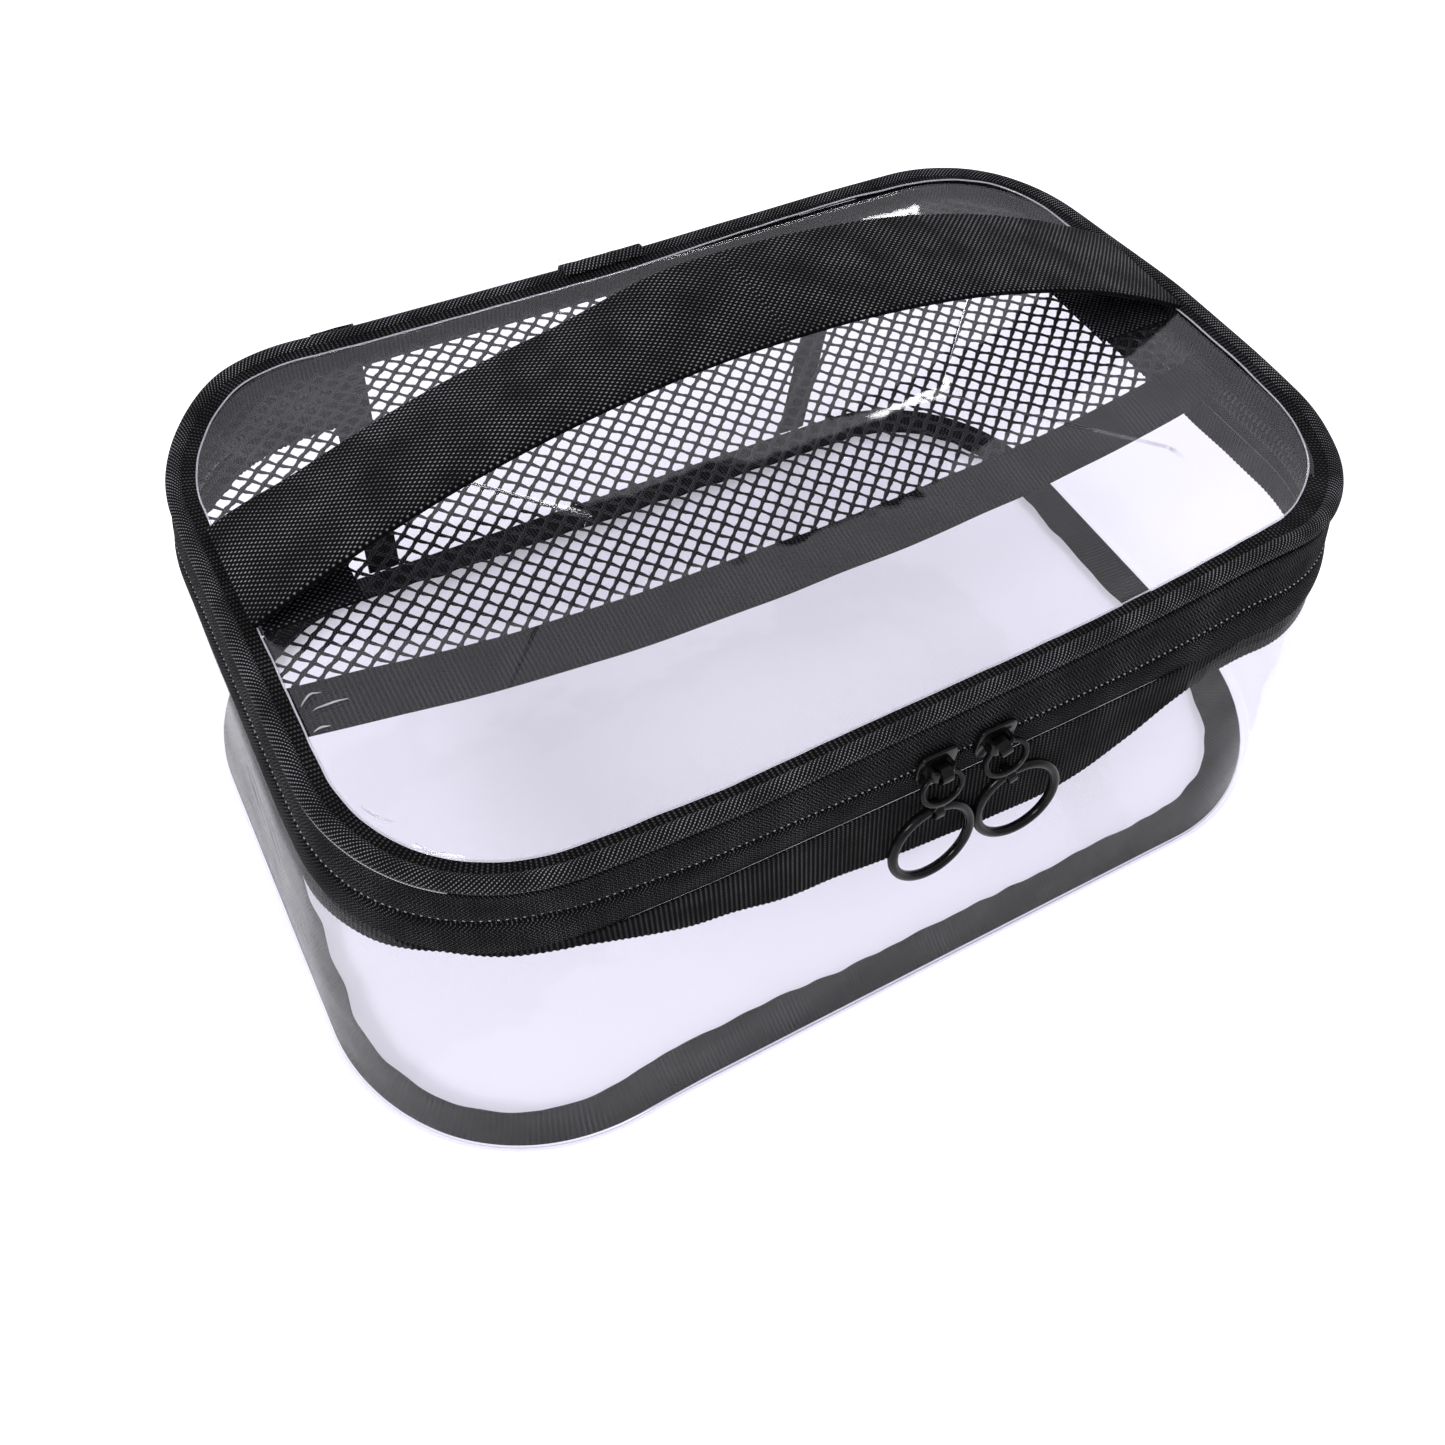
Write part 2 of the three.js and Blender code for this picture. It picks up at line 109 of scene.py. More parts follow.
# ---- outlines ----
class Outline:
    """A rounded rectangle: its straights and corners, in order from the rear centre by way of +X."""

    def __init__(self, half_length, half_width, corner, shift_y=0.0):
        self.a, self.b, self.r, self.shift = half_length, half_width, corner, shift_y

    def lengths(self):
        long, short, arc = self.a - self.r, 2 * (self.b - self.r), self.r * math.pi / 2
        return [long, arc, short, arc, 2 * long, arc, short, arc, long]

    def point(self, piece, share):
        long, short = self.a - self.r, self.b - self.r
        corners = {1: (1, 1, 90), 3: (1, -1, 0), 5: (-1, -1, -90), 7: (-1, 1, 180)}
        if piece in corners:
            sx, sy, start = corners[piece]
            angle = math.radians(start - 90 * share)
            x, y = sx * long + self.r * math.cos(angle), sy * short + self.r * math.sin(angle)
            return x, y + self.shift, math.cos(angle), math.sin(angle)
        ends = {
            0: ((0, self.b), (long, self.b), (0, 1)),
            2: ((self.a, short), (self.a, -short), (1, 0)),
            4: ((long, -self.b), (-long, -self.b), (0, -1)),
            6: ((-self.a, -short), (-self.a, short), (-1, 0)),
            8: ((-long, self.b), (0, self.b), (0, 1)),
        }
        start, end, normal = ends[piece]
        x = start[0] + (end[0] - start[0]) * share
        y = start[1] + (end[1] - start[1]) * share
        return x, y + self.shift, *normal


RIM = Outline(120.0, 76.5, RIM_CORNER)
BASE = Outline(127.0, 87.4, BASE_CORNER, -3.4)
LENGTHS = RIM.lengths()
AROUND = sum(LENGTHS)
def piece_point(outline, s):
    """The point on an outline that matches a distance along the rim."""
    s %= AROUND
    for piece, length in enumerate(LENGTHS):
        if s <= length or piece == len(LENGTHS) - 1:
            return outline.point(piece, min(s / length, 1.0))
        s -= length


def station(s):
    """Rim x, y, base x, y and outward normal at a distance along the rim."""
    rim, base = piece_point(RIM, s), piece_point(BASE, s)
    return rim[0], rim[1], base[0], base[1], rim[2], rim[3]


def side(s, offset, z):
    """Points on the bag's side: s has n distances, offset and z are n by m. Returns n by m by 3."""
    s = np.asarray(s, float)
    offset, z = (np.broadcast_to(np.asarray(v, float), (len(s), np.shape(v)[-1])) for v in (offset, z))
    at = np.array([station(v) for v in s])
    flare = np.where(z >= FLARE_TOP, 0.0, 1 - (np.clip(z, 0, FLARE_TOP) / FLARE_TOP) ** FLARE_POWER)
    belly = np.clip((FLARE_TOP - z) / 18, 0, 1) * np.clip(z / 66, 0, 1) ** 0.8
    offset = offset + along_rim(s, BAND_SWELL)[:, None] * belly
    offset = offset + along_rim(s, BASE_SWELL)[:, None] * np.clip(1 - z / FLARE_TOP, 0, 1) ** 0.8
    x = at[:, 0:1] + (at[:, 2:3] - at[:, 0:1]) * flare + at[:, 4:5] * offset
    y = at[:, 1:2] + (at[:, 3:4] - at[:, 1:2]) * flare + at[:, 5:6] * offset
    return np.stack([x, y, z], axis=2)


def wave(a, b=0.0, c=0.0):
    """Smooth repeatable unevenness between about -1 and 1."""
    return noise.noise(Vector((a, b, c)))


def smooth(share):
    share = np.clip(share, 0, 1)
    return share * share * (3 - 2 * share)


def waves(values, scale, seed):
    """Unevenness along a line."""
    return np.array([wave(v / scale, seed) for v in values])


def field(x, y, pitch_x, pitch_y, seed):
    """Unevenness over a surface."""
    return np.vectorize(lambda p, q: wave(p / pitch_x, q / pitch_y, seed))(x, y)


def plane(x, y):
    """The two coordinates of a grid that is len(x) by len(y)."""
    return np.meshgrid(x, y, indexing="ij")


def along_rim(s, knots):
    """A smooth value along the rim from listed places and values."""
    places = np.linspace(0, AROUND, 1440, endpoint=False)
    level = np.interp(places, [k[0] for k in knots], [k[1] for k in knots], period=AROUND)
    kernel = np.hanning(33)
    kernel /= kernel.sum()
    level = np.convolve(np.concatenate([level[-16:], level, level[:16]]), kernel, mode="valid")
    return np.interp(np.asarray(s, float) % AROUND, places, level, period=AROUND)


BASE_SWELL = [(420, 0), (445, 0.8), (470, 2.4), (495, 2.9), (530, 2.4), (570, 1.8), (610, 0.9), (650, 0)]
BAND_SWELL = [(232, 0), (252, 1.8), (272, 2.2), (292, 1.0), (312, 0), (440, 0), (480, 1.3),
              (510, 2.0), (550, 1.0), (590, 0.2), (620, 0)]
RIM_RISE = [(0, -0.6), (60, 0.2), (110, -0.4), (140, -1.6), (170, 0.6), (200, 1.2), (232, 0.6),
            (262, 2.5), (278, 4.2), (292, 3.6), (306, 2.2), (324, 1.0), (344, 0.2), (383, -0.6),
            (408, -1.5), (429, -0.4), (442, 0.5), (470, 0.1), (492, 0.4), (520, -0.2), (580, -1.2),
            (600, -1.0), (616, 0.6), (650, -0.3)]
RIM_SWAY = [(0, -0.3), (100, 0.3), (135, -0.8), (175, 0.7), (205, 0.6), (240, -0.3), (275, -1.2),
            (310, -0.4), (340, 0.0), (410, 0.4), (450, 0.0), (510, 0.2), (560, -0.1), (590, -0.6),
            (618, 0.4), (650, -0.1)]
SLIT_RISE = [(60, 0.0), (240, 3.0), (283, 4.6), (296, 2.4), (314, 0.2), (336, -0.4), (374, -0.1),
             (395, 0.6), (416, 1.1), (437, 3.7), (447, 5.2), (467, 3.8), (482, 2.4), (520, 1.0), (600, 0.0)]


def rim_rise(s):
    return along_rim(s, RIM_RISE)


def rim_sway(s):
    return along_rim(s, RIM_SWAY)


def slit_rise(s):
    return along_rim(s, SLIT_RISE)


# ---- meshes ----
def add_object(name, data):
    made = bpy.data.objects.new(name, data)
    bpy.context.scene.collection.objects.link(made)
    return made


def make_piece(name, points, faces, uvs, materials, slots=None, sharp=None):
    """A mesh object from points in millimetres, with one UV pair for each face corner."""
    mesh = bpy.data.meshes.new(name)
    mesh.from_pydata((np.asarray(points, float) * MM).tolist(), [], faces)
    layer = mesh.uv_layers.new(name="weave")
    layer.data.foreach_set("uv", np.asarray(uvs, np.float32).ravel())
    mesh.polygons.foreach_set("use_smooth", [True] * len(mesh.polygons))
    for material in materials:
        mesh.materials.append(material)
    if slots is not None:
        mesh.polygons.foreach_set("material_index", slots)
    if sharp is not None:
        mesh.set_sharp_from_angle(angle=math.radians(sharp))
    mesh.update()
    return add_object(name, mesh)


def loft(name, sections, u, v, closed, materials, sharp=None, edge_slot=None):
    """Joins equal closed sections of an even number of points. An open loft is capped in strips."""
    sections = np.asarray(sections, float)
    count, size = sections.shape[:2]
    faces, uvs, slots = [], [], []
    spans = count if closed else count - 1
    edge_faces = {size // 2 - 1, size - 1}
    for i in range(spans):
        here, there = i * size, ((i + 1) % count) * size
        for k in range(size):
            after = (k + 1) % size
            faces.append((here + k, there + k, there + after, here + after))
            uvs += [(u[i], v[k]), (u[i + 1], v[k]), (u[i + 1], v[k + 1]), (u[i], v[k + 1])]
            slots.append(edge_slot if edge_slot and k in edge_faces else 0)
    if not closed:
        last = (count - 1) * size
        for k in range(size // 2 - 1):
            pair = (size - 1 - k, size - 2 - k)
            faces.append((k, k + 1, pair[1], pair[0]))
            uvs += [(u[0], v[k]), (u[0], v[k + 1]), (u[0] - 0.5, v[k + 1]), (u[0] - 0.5, v[k])]
            faces.append((last + k + 1, last + k, last + pair[0], last + pair[1]))
            uvs += [(u[-1], v[k + 1]), (u[-1], v[k]), (u[-1] + 0.5, v[k]), (u[-1] + 0.5, v[k + 1])]
            slots += [edge_slot or 0] * 2
    flat = sections.reshape(-1, 3)
    corner = flat[np.array(faces)]
    volume = np.einsum("ij,ij->i", corner[:, 0], np.cross(corner[:, 1], corner[:, 2])).sum()
    volume += np.einsum("ij,ij->i", corner[:, 0], np.cross(corner[:, 2], corner[:, 3])).sum()
    if volume < 0:
        faces = [face[::-1] for face in faces]
        uvs = [pair for i in range(0, len(uvs), 4) for pair in uvs[i:i + 4][::-1]]
    return make_piece(name, flat, faces, uvs, materials, slots, sharp)


def surface_normals(grid, closed):
    if closed:
        along = np.roll(grid, -1, axis=0) - np.roll(grid, 1, axis=0)
    else:
        along = np.gradient(grid, axis=0)
    across = np.gradient(grid, axis=1)
    normal = np.cross(along, across)
    return normal / np.maximum(np.linalg.norm(normal, axis=2, keepdims=True), 1e-9)


def ribbon(name, grid, thickness, u, v, closed, materials, taper=None, **options):
    """A thin closed sheet round a middle surface of n by m points. taper thins its long edges."""
    half = thickness / 2 * (np.ones(grid.shape[1]) if taper is None else np.asarray(taper))
    push = surface_normals(grid, closed) * half[None, :, None]
    sections = np.concatenate([grid + push, (grid - push)[:, ::-1]], axis=1)
    v = list(v)
    around = v + v[::-1] + [v[0]]
    return loft(name, sections, u, around, closed, materials, **options)


def across_steps(width, count, edge=0.6):
    """Places across a strip, closer together at its edges, with the taper that rounds those edges."""
    inner = np.linspace(edge, width - edge, count)
    places = np.concatenate([[0, edge * 0.25], inner, [width - edge * 0.25, width]])
    taper = np.concatenate([[0.25, 0.75], np.ones(count), [0.75, 0.25]])
    return places, taper


def length_along(path):
    """The distance along a path at each of its points."""
    return np.concatenate([[0], np.cumsum(np.linalg.norm(np.diff(path, axis=0), axis=1))])


def tube(name, path, radius, sides, closed, materials, up=(0, 0, 1)):
    """A round tube along a path of points, with its length as u."""
    path = np.asarray(path, float)
    if closed:
        tangent = np.roll(path, -1, axis=0) - np.roll(path, 1, axis=0)
    else:
        tangent = np.gradient(path, axis=0)
    tangent /= np.linalg.norm(tangent, axis=1, keepdims=True)
    sideways = np.cross(np.broadcast_to(up, tangent.shape), tangent)
    sideways /= np.maximum(np.linalg.norm(sideways, axis=1, keepdims=True), 1e-9)
    upward = np.cross(tangent, sideways)
    angle = np.arange(sides) * TURN / sides
    radius = np.broadcast_to(radius, (len(path),))[:, None, None]
    ring = np.cos(angle)[:, None] * sideways[:, None] + np.sin(angle)[:, None] * upward[:, None]
    steps = np.linalg.norm(np.diff(path, axis=0, append=path[:1]), axis=1)
    u = np.concatenate([[0], np.cumsum(steps)])
    v = np.append(angle, TURN) * float(np.mean(radius))
    return loft(name, path[:, None] + ring * radius, u, v, closed, materials)


def merge(name, pieces):
    """Joins pieces into one object."""
    bpy.ops.object.select_all(action="DESELECT")
    for piece in pieces:
        piece.select_set(True)
    bpy.context.view_layer.objects.active = pieces[0]
    bpy.ops.object.join()
    pieces[0].name = name
    pieces[0].data.name = name
    return pieces[0]


# ---- materials ----
class Shade:
    """One node tree. Numbers go straight onto sockets, and sockets are linked."""

    def __init__(self, name, tree=None):
        if tree is None:
            self.material = bpy.data.materials.new(name)
            self.material.use_nodes = True
            tree = self.material.node_tree
            tree.nodes.clear()
        self.tree = tree

    def node(self, kind, inputs=None, **settings):
        made = self.tree.nodes.new("ShaderNode" + kind)
        for key, value in settings.items():
            setattr(made, key, value)
        for key, value in (inputs or {}).items():
            self.set(made.inputs[key], value)
        return made

    def out(self, kind, inputs=None, **settings):
        """The first output of a new node."""
        return self.node(kind, inputs, **settings).outputs[0]

    def set(self, socket, value):
        if isinstance(value, bpy.types.NodeSocket):
            self.tree.links.new(value, socket)
        else:
            socket.default_value = value

    def math(self, operation, a, b=0.0, c=0.0):
        return self.out("Math", {0: a, 1: b, 2: c}, operation=operation)

    def times(self, a, b):
        return self.math("MULTIPLY", a, b)

    def line(self, value, slope, start):
        return self.math("MULTIPLY_ADD", value, slope, start)

    def half_up(self, value):
        """Moves a wave from -1..1 to 0..1."""
        return self.line(value, 0.5, 0.5)

    def wave(self, value, pitch, phase=0.0):
        return self.math("SINE", self.line(value, TURN / pitch, phase))

    def row(self, value, pitch):
        """Half a turn for each whole row, so that neighbouring rows are staggered."""
        whole = self.math("FLOOR", self.times(value, 1 / pitch))
        return self.times(whole, math.pi)

    def between(self, share, low, high):
        return self.out("MapRange", {0: share, 3: low, 4: high})

    def weave_uv(self):
        uv = self.out("UVMap", uv_map="weave")
        parts = self.node("SeparateXYZ", {0: uv})
        return parts.outputs[0], parts.outputs[1], uv

    def spot(self):
        return self.node("TexCoord").outputs["Object"]

    def noise(self, vector, scale, detail=2.0):
        return self.out("TexNoise", {"Vector": vector, "Scale": scale, "Detail": detail})

    def ramp(self, value, stops):
        made = self.node("ValToRGB", {0: value})
        elements = made.color_ramp.elements
        while len(elements) < len(stops):
            elements.new(0.5)
        for element, (place, colour) in zip(elements, stops):
            element.position = place
            element.color = (*colour, 1)
        return made.outputs[0]

    def greys(self, value, *stops):
        """A ramp through greys, each with its place."""
        return self.ramp(value, [(place, grey(level)) for place, level in stops])

    def bump(self, height, distance, strength=1.0):
        inputs = {"Height": height, "Distance": distance * MM, "Strength": strength}
        return self.out("Bump", inputs)

    def mix(self, share, a, b):
        return self.out("MixShader", {0: share, 1: a, 2: b})

    def diffuse(self, colour):
        return self.out("BsdfDiffuse", {"Color": colour})

    def surface(self, colour, rough, normal, specular=0.5, sheen=0.0):
        """Finishes the material as an opaque surface."""
        return self.finish(self.out("BsdfPrincipled", {
            "Base Color": colour,
            "Roughness": rough,
            "Normal": normal,
            "Specular IOR Level": specular,
            "Sheen Weight": sheen,
            "Sheen Roughness": 0.5,
        }))

    def finish(self, shader):
        self.node("OutputMaterial", {0: shader})
        return self.material


def grey(level, tint=(1.0, 1.0, 1.06)):
    return tuple(level * t for t in tint)


def cloth(name, pattern, low, high, relief=0.22):
    """A woven fabric. pattern(shade, u, v) gives a height, which sets colour, gloss and relief."""
    shade = Shade(name)
    u, v, uv = shade.weave_uv()
    height = pattern(shade, u, v)
    patches = shade.noise(uv, 0.09, 3.0)
    fuzz = shade.noise(uv, 2.4, 1.0)
    lifted = shade.line(fuzz, 0.3, height)
    level = shade.times(lifted, shade.line(patches, 0.8, 0.45))
    colour = shade.greys(level, (0.2, low), (0.62, 0.95 * low + 0.05 * high), (1.0, high))
    rough = shade.between(height, 0.95, 0.7)
    return shade.surface(colour, rough, shade.bump(lifted, relief), specular=0.04, sheen=0.006)


def twill_pattern(pitch, band):
    """Herringbone twill: slanted threads that turn back in bands along the tape."""
    def pattern(shade, u, v):
        folded = shade.math("PINGPONG", v, band)
        ridge = shade.half_up(shade.wave(shade.math("ADD", u, folded), pitch))
        cut = shade.half_up(shade.wave(shade.math("SUBTRACT", u, folded), pitch * 0.8))
        return shade.times(shade.math("POWER", ridge, 1.4), shade.line(cut, 0.6, 0.4))
    return pattern


def grosgrain_pattern(pitch):
    """Ribs across the ribbon, each bound by fine threads along it."""
    def pattern(shade, u, v):
        rib = shade.half_up(shade.wave(u, pitch))
        thread = shade.half_up(shade.wave(v, 0.62, shade.row(u, pitch)))
        return shade.times(shade.math("POWER", rib, 0.8), shade.line(thread, 0.45, 0.55))
    return pattern


def webbing_pattern(along, across):
    """Plain close webbing: small floats that stand side by side in staggered rows."""
    def pattern(shade, u, v):
        dot = shade.half_up(shade.wave(u, along, shade.row(v, across)))
        hump = shade.math("ABSOLUTE", shade.wave(v, 2 * across))
        return shade.times(shade.math("POWER", dot, 1.6), hump)
    return pattern


def make_vinyl(name, tint, haze, roughness, mirror, edge=False):
    """Clear soft vinyl: see-through and slightly milky, and a mirror at a slant, as plastic is."""
    shade = Shade(name)
    back = shade.node("NewGeometry").outputs["Backfacing"]
    ior = shade.line(back, 1 / VINYL_IOR - VINYL_IOR, VINYL_IOR)
    spot = shade.spot()
    dust = shade.noise(spot, 700.0)
    normal = shade.bump(shade.noise(spot, 55.0), 0.7)
    fresnel = shade.out("Fresnel", {"IOR": ior, "Normal": normal})
    shiny = {"Color": (1, 1, 1, 1), "Roughness": roughness, "Normal": normal}
    gloss = shade.out("BsdfGlossy", shiny)
    clear = shade.out("BsdfTransparent", {"Color": (*tint, 1)})
    milk = shade.line(dust, haze * 0.6, haze * 0.7)
    body = shade.mix(milk, clear, shade.diffuse((0.85, 0.85, 0.92, 1)))
    whole = shade.mix(shade.times(fresnel, mirror), body, gloss)
    # the cut edges get a pale purple diffuse: the sheet's own tint and a painted highlight line
    if edge:
        whole = shade.mix(0.4, whole, shade.diffuse((0.62, 0.6, 0.78, 1)))
    return shade.finish(whole)


def make_metal():
    """Black plated zinc: deep, glossy and slightly uneven."""
    shade = Shade("black_metal")
    spot = shade.spot()
    cast = shade.noise(spot, 900.0)
    specks = shade.noise(spot, 5200.0, 1.0)
    colour = shade.greys(cast, (0.3, 0.002), (0.6, 0.004), (0.85, 0.01))
    rough = shade.between(specks, 0.1, 0.24)
    return shade.surface(colour, rough, shade.bump(cast, 0.03, 0.5), specular=0.13)


def make_nylon():
    """Black nylon monofilament for the coil."""
    shade = Shade("nylon_coil")
    streak = shade.noise(shade.weave_uv()[2], 1.5)
    colour = shade.greys(streak, (0.3, 0.008), (0.8, 0.03))
    return shade.surface(colour, shade.between(streak, 0.3, 0.5), shade.bump(streak, 0.04))


def make_yarn(name, low, high, twist):
    """Twisted thread: slanted strands along the tube."""
    shade = Shade(name)
    u, v, uv = shade.weave_uv()
    strand = shade.half_up(shade.wave(shade.math("ADD", u, v), twist))
    level = shade.times(strand, shade.line(shade.noise(uv, 3.0), 0.8, 0.6))
    colour = shade.greys(level, (0.0, low), (1.0, high))
    return shade.surface(colour, 0.62, shade.bump(strand, 0.06), specular=0.15)


VINYL_IOR = 1.47
FILM_TINT = (0.93, 0.925, 0.948)
TWILL = cloth("twill_piping", twill_pattern(1.0, 5.65), 0.004, 0.3)
ZIP_TAPE = cloth("zip_tape", twill_pattern(0.9, 1.3), 0.0025, 0.09, relief=0.16)
GROSGRAIN = cloth("grosgrain", grosgrain_pattern(1.05), 0.002, 0.05, relief=0.2)
WEBBING = cloth("handle_webbing", webbing_pattern(1.5, 0.64), 0.002, 0.24, relief=0.3)
NET_YARN = make_yarn("net_yarn", 0.002, 0.06, 0.8)
THREAD = make_yarn("sewing_thread", 0.003, 0.02, 0.5)
PALE_THREAD = make_yarn("pale_thread", 0.1, 0.5, 0.5)
NYLON = make_nylon()
METAL = make_metal()
CLEAR = make_vinyl("clear_vinyl", FILM_TINT, 0.002, 0.05, 0.66)
CLEAR_WALL = make_vinyl("clear_wall_vinyl", FILM_TINT, 0.002, 0.06, 0.26)
# the sheets' cut edges: their own tint and a painted highlight line
CLEAR_EDGE = make_vinyl("vinyl_cut_edge", (0.82, 0.82, 0.9), 0.03, 0.15, 0.8, edge=True)
# pale milky vinyl that paints highlights: the bright line along the lid's step and the glints on its folds
PAINTED_GLINT = make_vinyl("vinyl_painted_highlight", (0.85, 0.85, 0.87), 0.3, 0.12, 1.0)
VINYL_LOOK = [CLEAR, CLEAR_EDGE]
WALL_LOOK = [CLEAR_WALL, CLEAR_EDGE]


def place(piece, body, slot, *nodes):
    """Rides a piece on its body and hides the CAD nodes it stands for; slot is not used."""
    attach(piece, body)
    finish_piece(piece, slot, *nodes)
    return piece


def finish_piece(piece, slot, *nodes):
    if nodes:
        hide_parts(*nodes)


def stitch_row(name, path, length, gap, radius, material):
    """A row of short rounded stitches along a path of points."""
    path = np.asarray(path, float)
    far = length_along(path)
    points, faces, uvs = [], [], []
    rings, sides = 5, 6
    shares = np.linspace(0, 1, rings)
    swell = np.sqrt(np.clip(1 - (2 * shares - 1) ** 2, 0.08, 1))[:, None, None]
    turn = (TURN * np.arange(sides) / sides)[:, None]
    for start in np.arange(gap / 2, far[-1] - length, length + gap):
        spot = start + shares * length
        centre = np.stack([np.interp(spot, far, path[:, k]) for k in range(3)], axis=1)
        tangent = centre[-1] - centre[0]
        tangent /= np.linalg.norm(tangent)
        sideways = np.cross((0.0, 0.0, 1.0), tangent)
        sideways /= np.linalg.norm(sideways)
        out = np.cos(turn) * sideways + np.sin(turn) * np.cross(tangent, sideways)
        base = len(points)
        points.extend((centre[:, None] + out * radius * swell).reshape(-1, 3))
        for ring in range(rings - 1):
            for k in range(sides):
                a, b = base + ring * sides + k, base + ring * sides + (k + 1) % sides
                faces.append((a, b, b + sides, a + sides))
                uvs += [(spot[ring], k * 0.3), (spot[ring], k * 0.3 + 0.3)]
                uvs += [(spot[ring + 1], k * 0.3 + 0.3), (spot[ring + 1], k * 0.3)]
        for ring, way in ((0, -1), (rings - 1, 1)):
            cap = [base + ring * sides + k for k in range(sides)][::way]
            faces.append(tuple(cap))
            uvs += [(spot[ring], 0.0)] * sides
    return make_piece(name, points, faces, uvs, [material])


# ---- camera, light and floor ----
CAMERA = {"azimuth": -34.44, "elevation": 54.07, "roll": 6.42, "distance": 0.310, "lens": 34.5}
TARGET = Vector((-0.0268, -0.0315, 0.0439))


def add_camera():
    azimuth, elevation = math.radians(CAMERA["azimuth"]), math.radians(CAMERA["elevation"])
    back = Vector((
        math.sin(azimuth) * math.cos(elevation),
        -math.cos(azimuth) * math.cos(elevation),
        math.sin(elevation),
    ))
    data = bpy.data.cameras.new("camera")
    data.lens = CAMERA["lens"]
    data.sensor_width = 36.0
    data.clip_start = 0.01
    camera = add_object("camera", data)
    level = back.to_track_quat("Z", "Y").to_matrix()
    roll = Matrix.Rotation(math.radians(CAMERA["roll"]), 3, "Z")
    camera.matrix_world = Matrix.Translation(TARGET + back * CAMERA["distance"]) @ (level @ roll).to_4x4()
    bpy.context.scene.camera = camera


def add_light(name, place_at, towards, size, power):
    data = bpy.data.lights.new(name, "AREA")
    data.shape = "RECTANGLE"
    data.size, data.size_y = size
    data.energy = power
    light = add_object(name, data)
    direction = Vector(towards) - Vector(place_at)
    turn = direction.to_track_quat("-Z", "Y").to_matrix().to_4x4()
    light.matrix_world = Matrix.Translation(place_at) @ turn


def add_studio():
    world = bpy.data.worlds.new("studio")
    bpy.context.scene.world = world
    world.use_nodes = True
    background = world.node_tree.nodes["Background"]
    sky = Shade("sky", world.node_tree)
    direction = sky.node("TexCoord").outputs["Generated"]
    parts = sky.node("SeparateXYZ", {0: direction})
    height = sky.line(parts.outputs[2], 0.5, sky.line(parts.outputs[1], 0.45, 0.35))
    wash = sky.greys(height, (0.1, 0.8), (0.45, 0.88), (0.75, 0.96), (1.0, 1.0))
    sky.set(background.inputs[0], wash)
    background.inputs[1].default_value = 1.0
    add_light("key_softbox", (-0.75, -0.35, 0.8), (0, 0, 0.05), (0.3, 0.3), 6.0)
    add_light("rear_softbox", (0.35, 0.75, 0.55), (0, 0, 0.06), (0.5, 0.1), 2.0)
    shade = Shade("studio_floor")
    colour = shade.ramp(shade.noise(shade.spot(), 3.0), [
        (0.0, (0.76, 0.76, 0.765)),
        (1.0, (0.79, 0.79, 0.795)),
    ])
    lit = shade.out("Emission", {"Color": colour, "Strength": 0.7})
    paper = shade.finish(shade.out("AddShader", {0: shade.diffuse(colour), 1: lit}))
    paper.cycles.emission_sampling = "NONE"
    reach = 3.0 / MM
    turns = [(0, 0), (1, 0), (1, 1), (0, 1)]
    corners = [((2 * a - 1) * reach, (2 * b - 1) * reach, -0.05) for a, b in turns]
    floor = make_piece("floor", corners, [(0, 1, 2, 3)], turns, [paper])
    bpy.context.scene.view_settings.view_transform = "Standard"


# ---- clear panels ----
def wall_grid(stations, top_z, rows, tuck=0.0):
    """The wall from its top down to the floor, where it rolls under in the hem."""
    down = np.linspace(top_z, HEM_R + 0.4, rows)
    turn = np.linspace(0, math.pi / 2, 7)[1:]
    z = np.concatenate([down, HEM_R + 0.4 - HEM_R * np.sin(turn)])
    ease = np.clip(1 - down / 14.0, 0, 1) ** 2
    hem = HEM_OUT - HEM_R * (1 - np.cos(turn))
    offset = np.concatenate([WALL_OUT + (HEM_OUT - WALL_OUT) * ease, hem])
    offset = offset - tuck * smooth((z - top_z + 5.0) / 4.0)
    s, h = plane(stations, z)
    uneven = 0.8 * field(s, h, 38, 26, 3.1) + 0.1 * field(s, h, 9, 60, 7.7)
    held = np.sin(np.clip((z - 3) / (top_z - 3), 0, 1) * math.pi) ** 0.7
    grid = side(stations, offset + uneven * held, z)
    return grid, length_along(grid[0])


def add_wall(name, stations, top_z, rows, tuck=0.0):
    grid, v = wall_grid(stations, top_z, rows, tuck)
    return ribbon(name, grid, VINYL, stations, v, False, WALL_LOOK, sharp=50, edge_slot=1)


def add_walls():
    stations = np.linspace(SEAM_X["right"] + 0.2, AROUND + SEAM_X["left"] - 0.2, 420)
    front = add_wall("front_wall", stations, WALL_TOP_Z, 34, tuck=1.25)
    place(front, "bag_body", "clear_vinyl", "front_wall")

    stations = np.linspace(SEAM_X["left"], SEAM_X["right"], 70)
    rear = add_wall("rear_wall", stations, 85.2, 60)
    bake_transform(rear)
    finish_piece(rear, "clear_vinyl", "rear_wall")


def panel_loops(outline, insets, step):
    """Stations along the rim, and the x and y of loops inside a rounded rectangle."""
    start = LENGTHS[0] + LENGTHS[1] + LENGTHS[2] / 2
    stations = start + np.linspace(0, AROUND, 2 * int(AROUND / step / 2), endpoint=False)
    loops = []
    for inset in insets:
        corner = max(outline.r - inset, 0.4)
        inner = Outline(outline.a - inset, outline.b - inset, corner, outline.shift)
        loops.append([piece_point(inner, s)[:2] for s in stations])
    return stations, *np.moveaxis(np.array(loops), 2, 0)


def edge_distance(outline, x, y):
    """How far a point lies inside a rounded rectangle."""
    qx = np.abs(x) - (outline.a - outline.r)
    qy = np.abs(y - outline.shift) - (outline.b - outline.r)
    outside = np.hypot(np.maximum(qx, 0), np.maximum(qy, 0))
    return outline.r - (outside + np.minimum(np.maximum(qx, qy), 0))


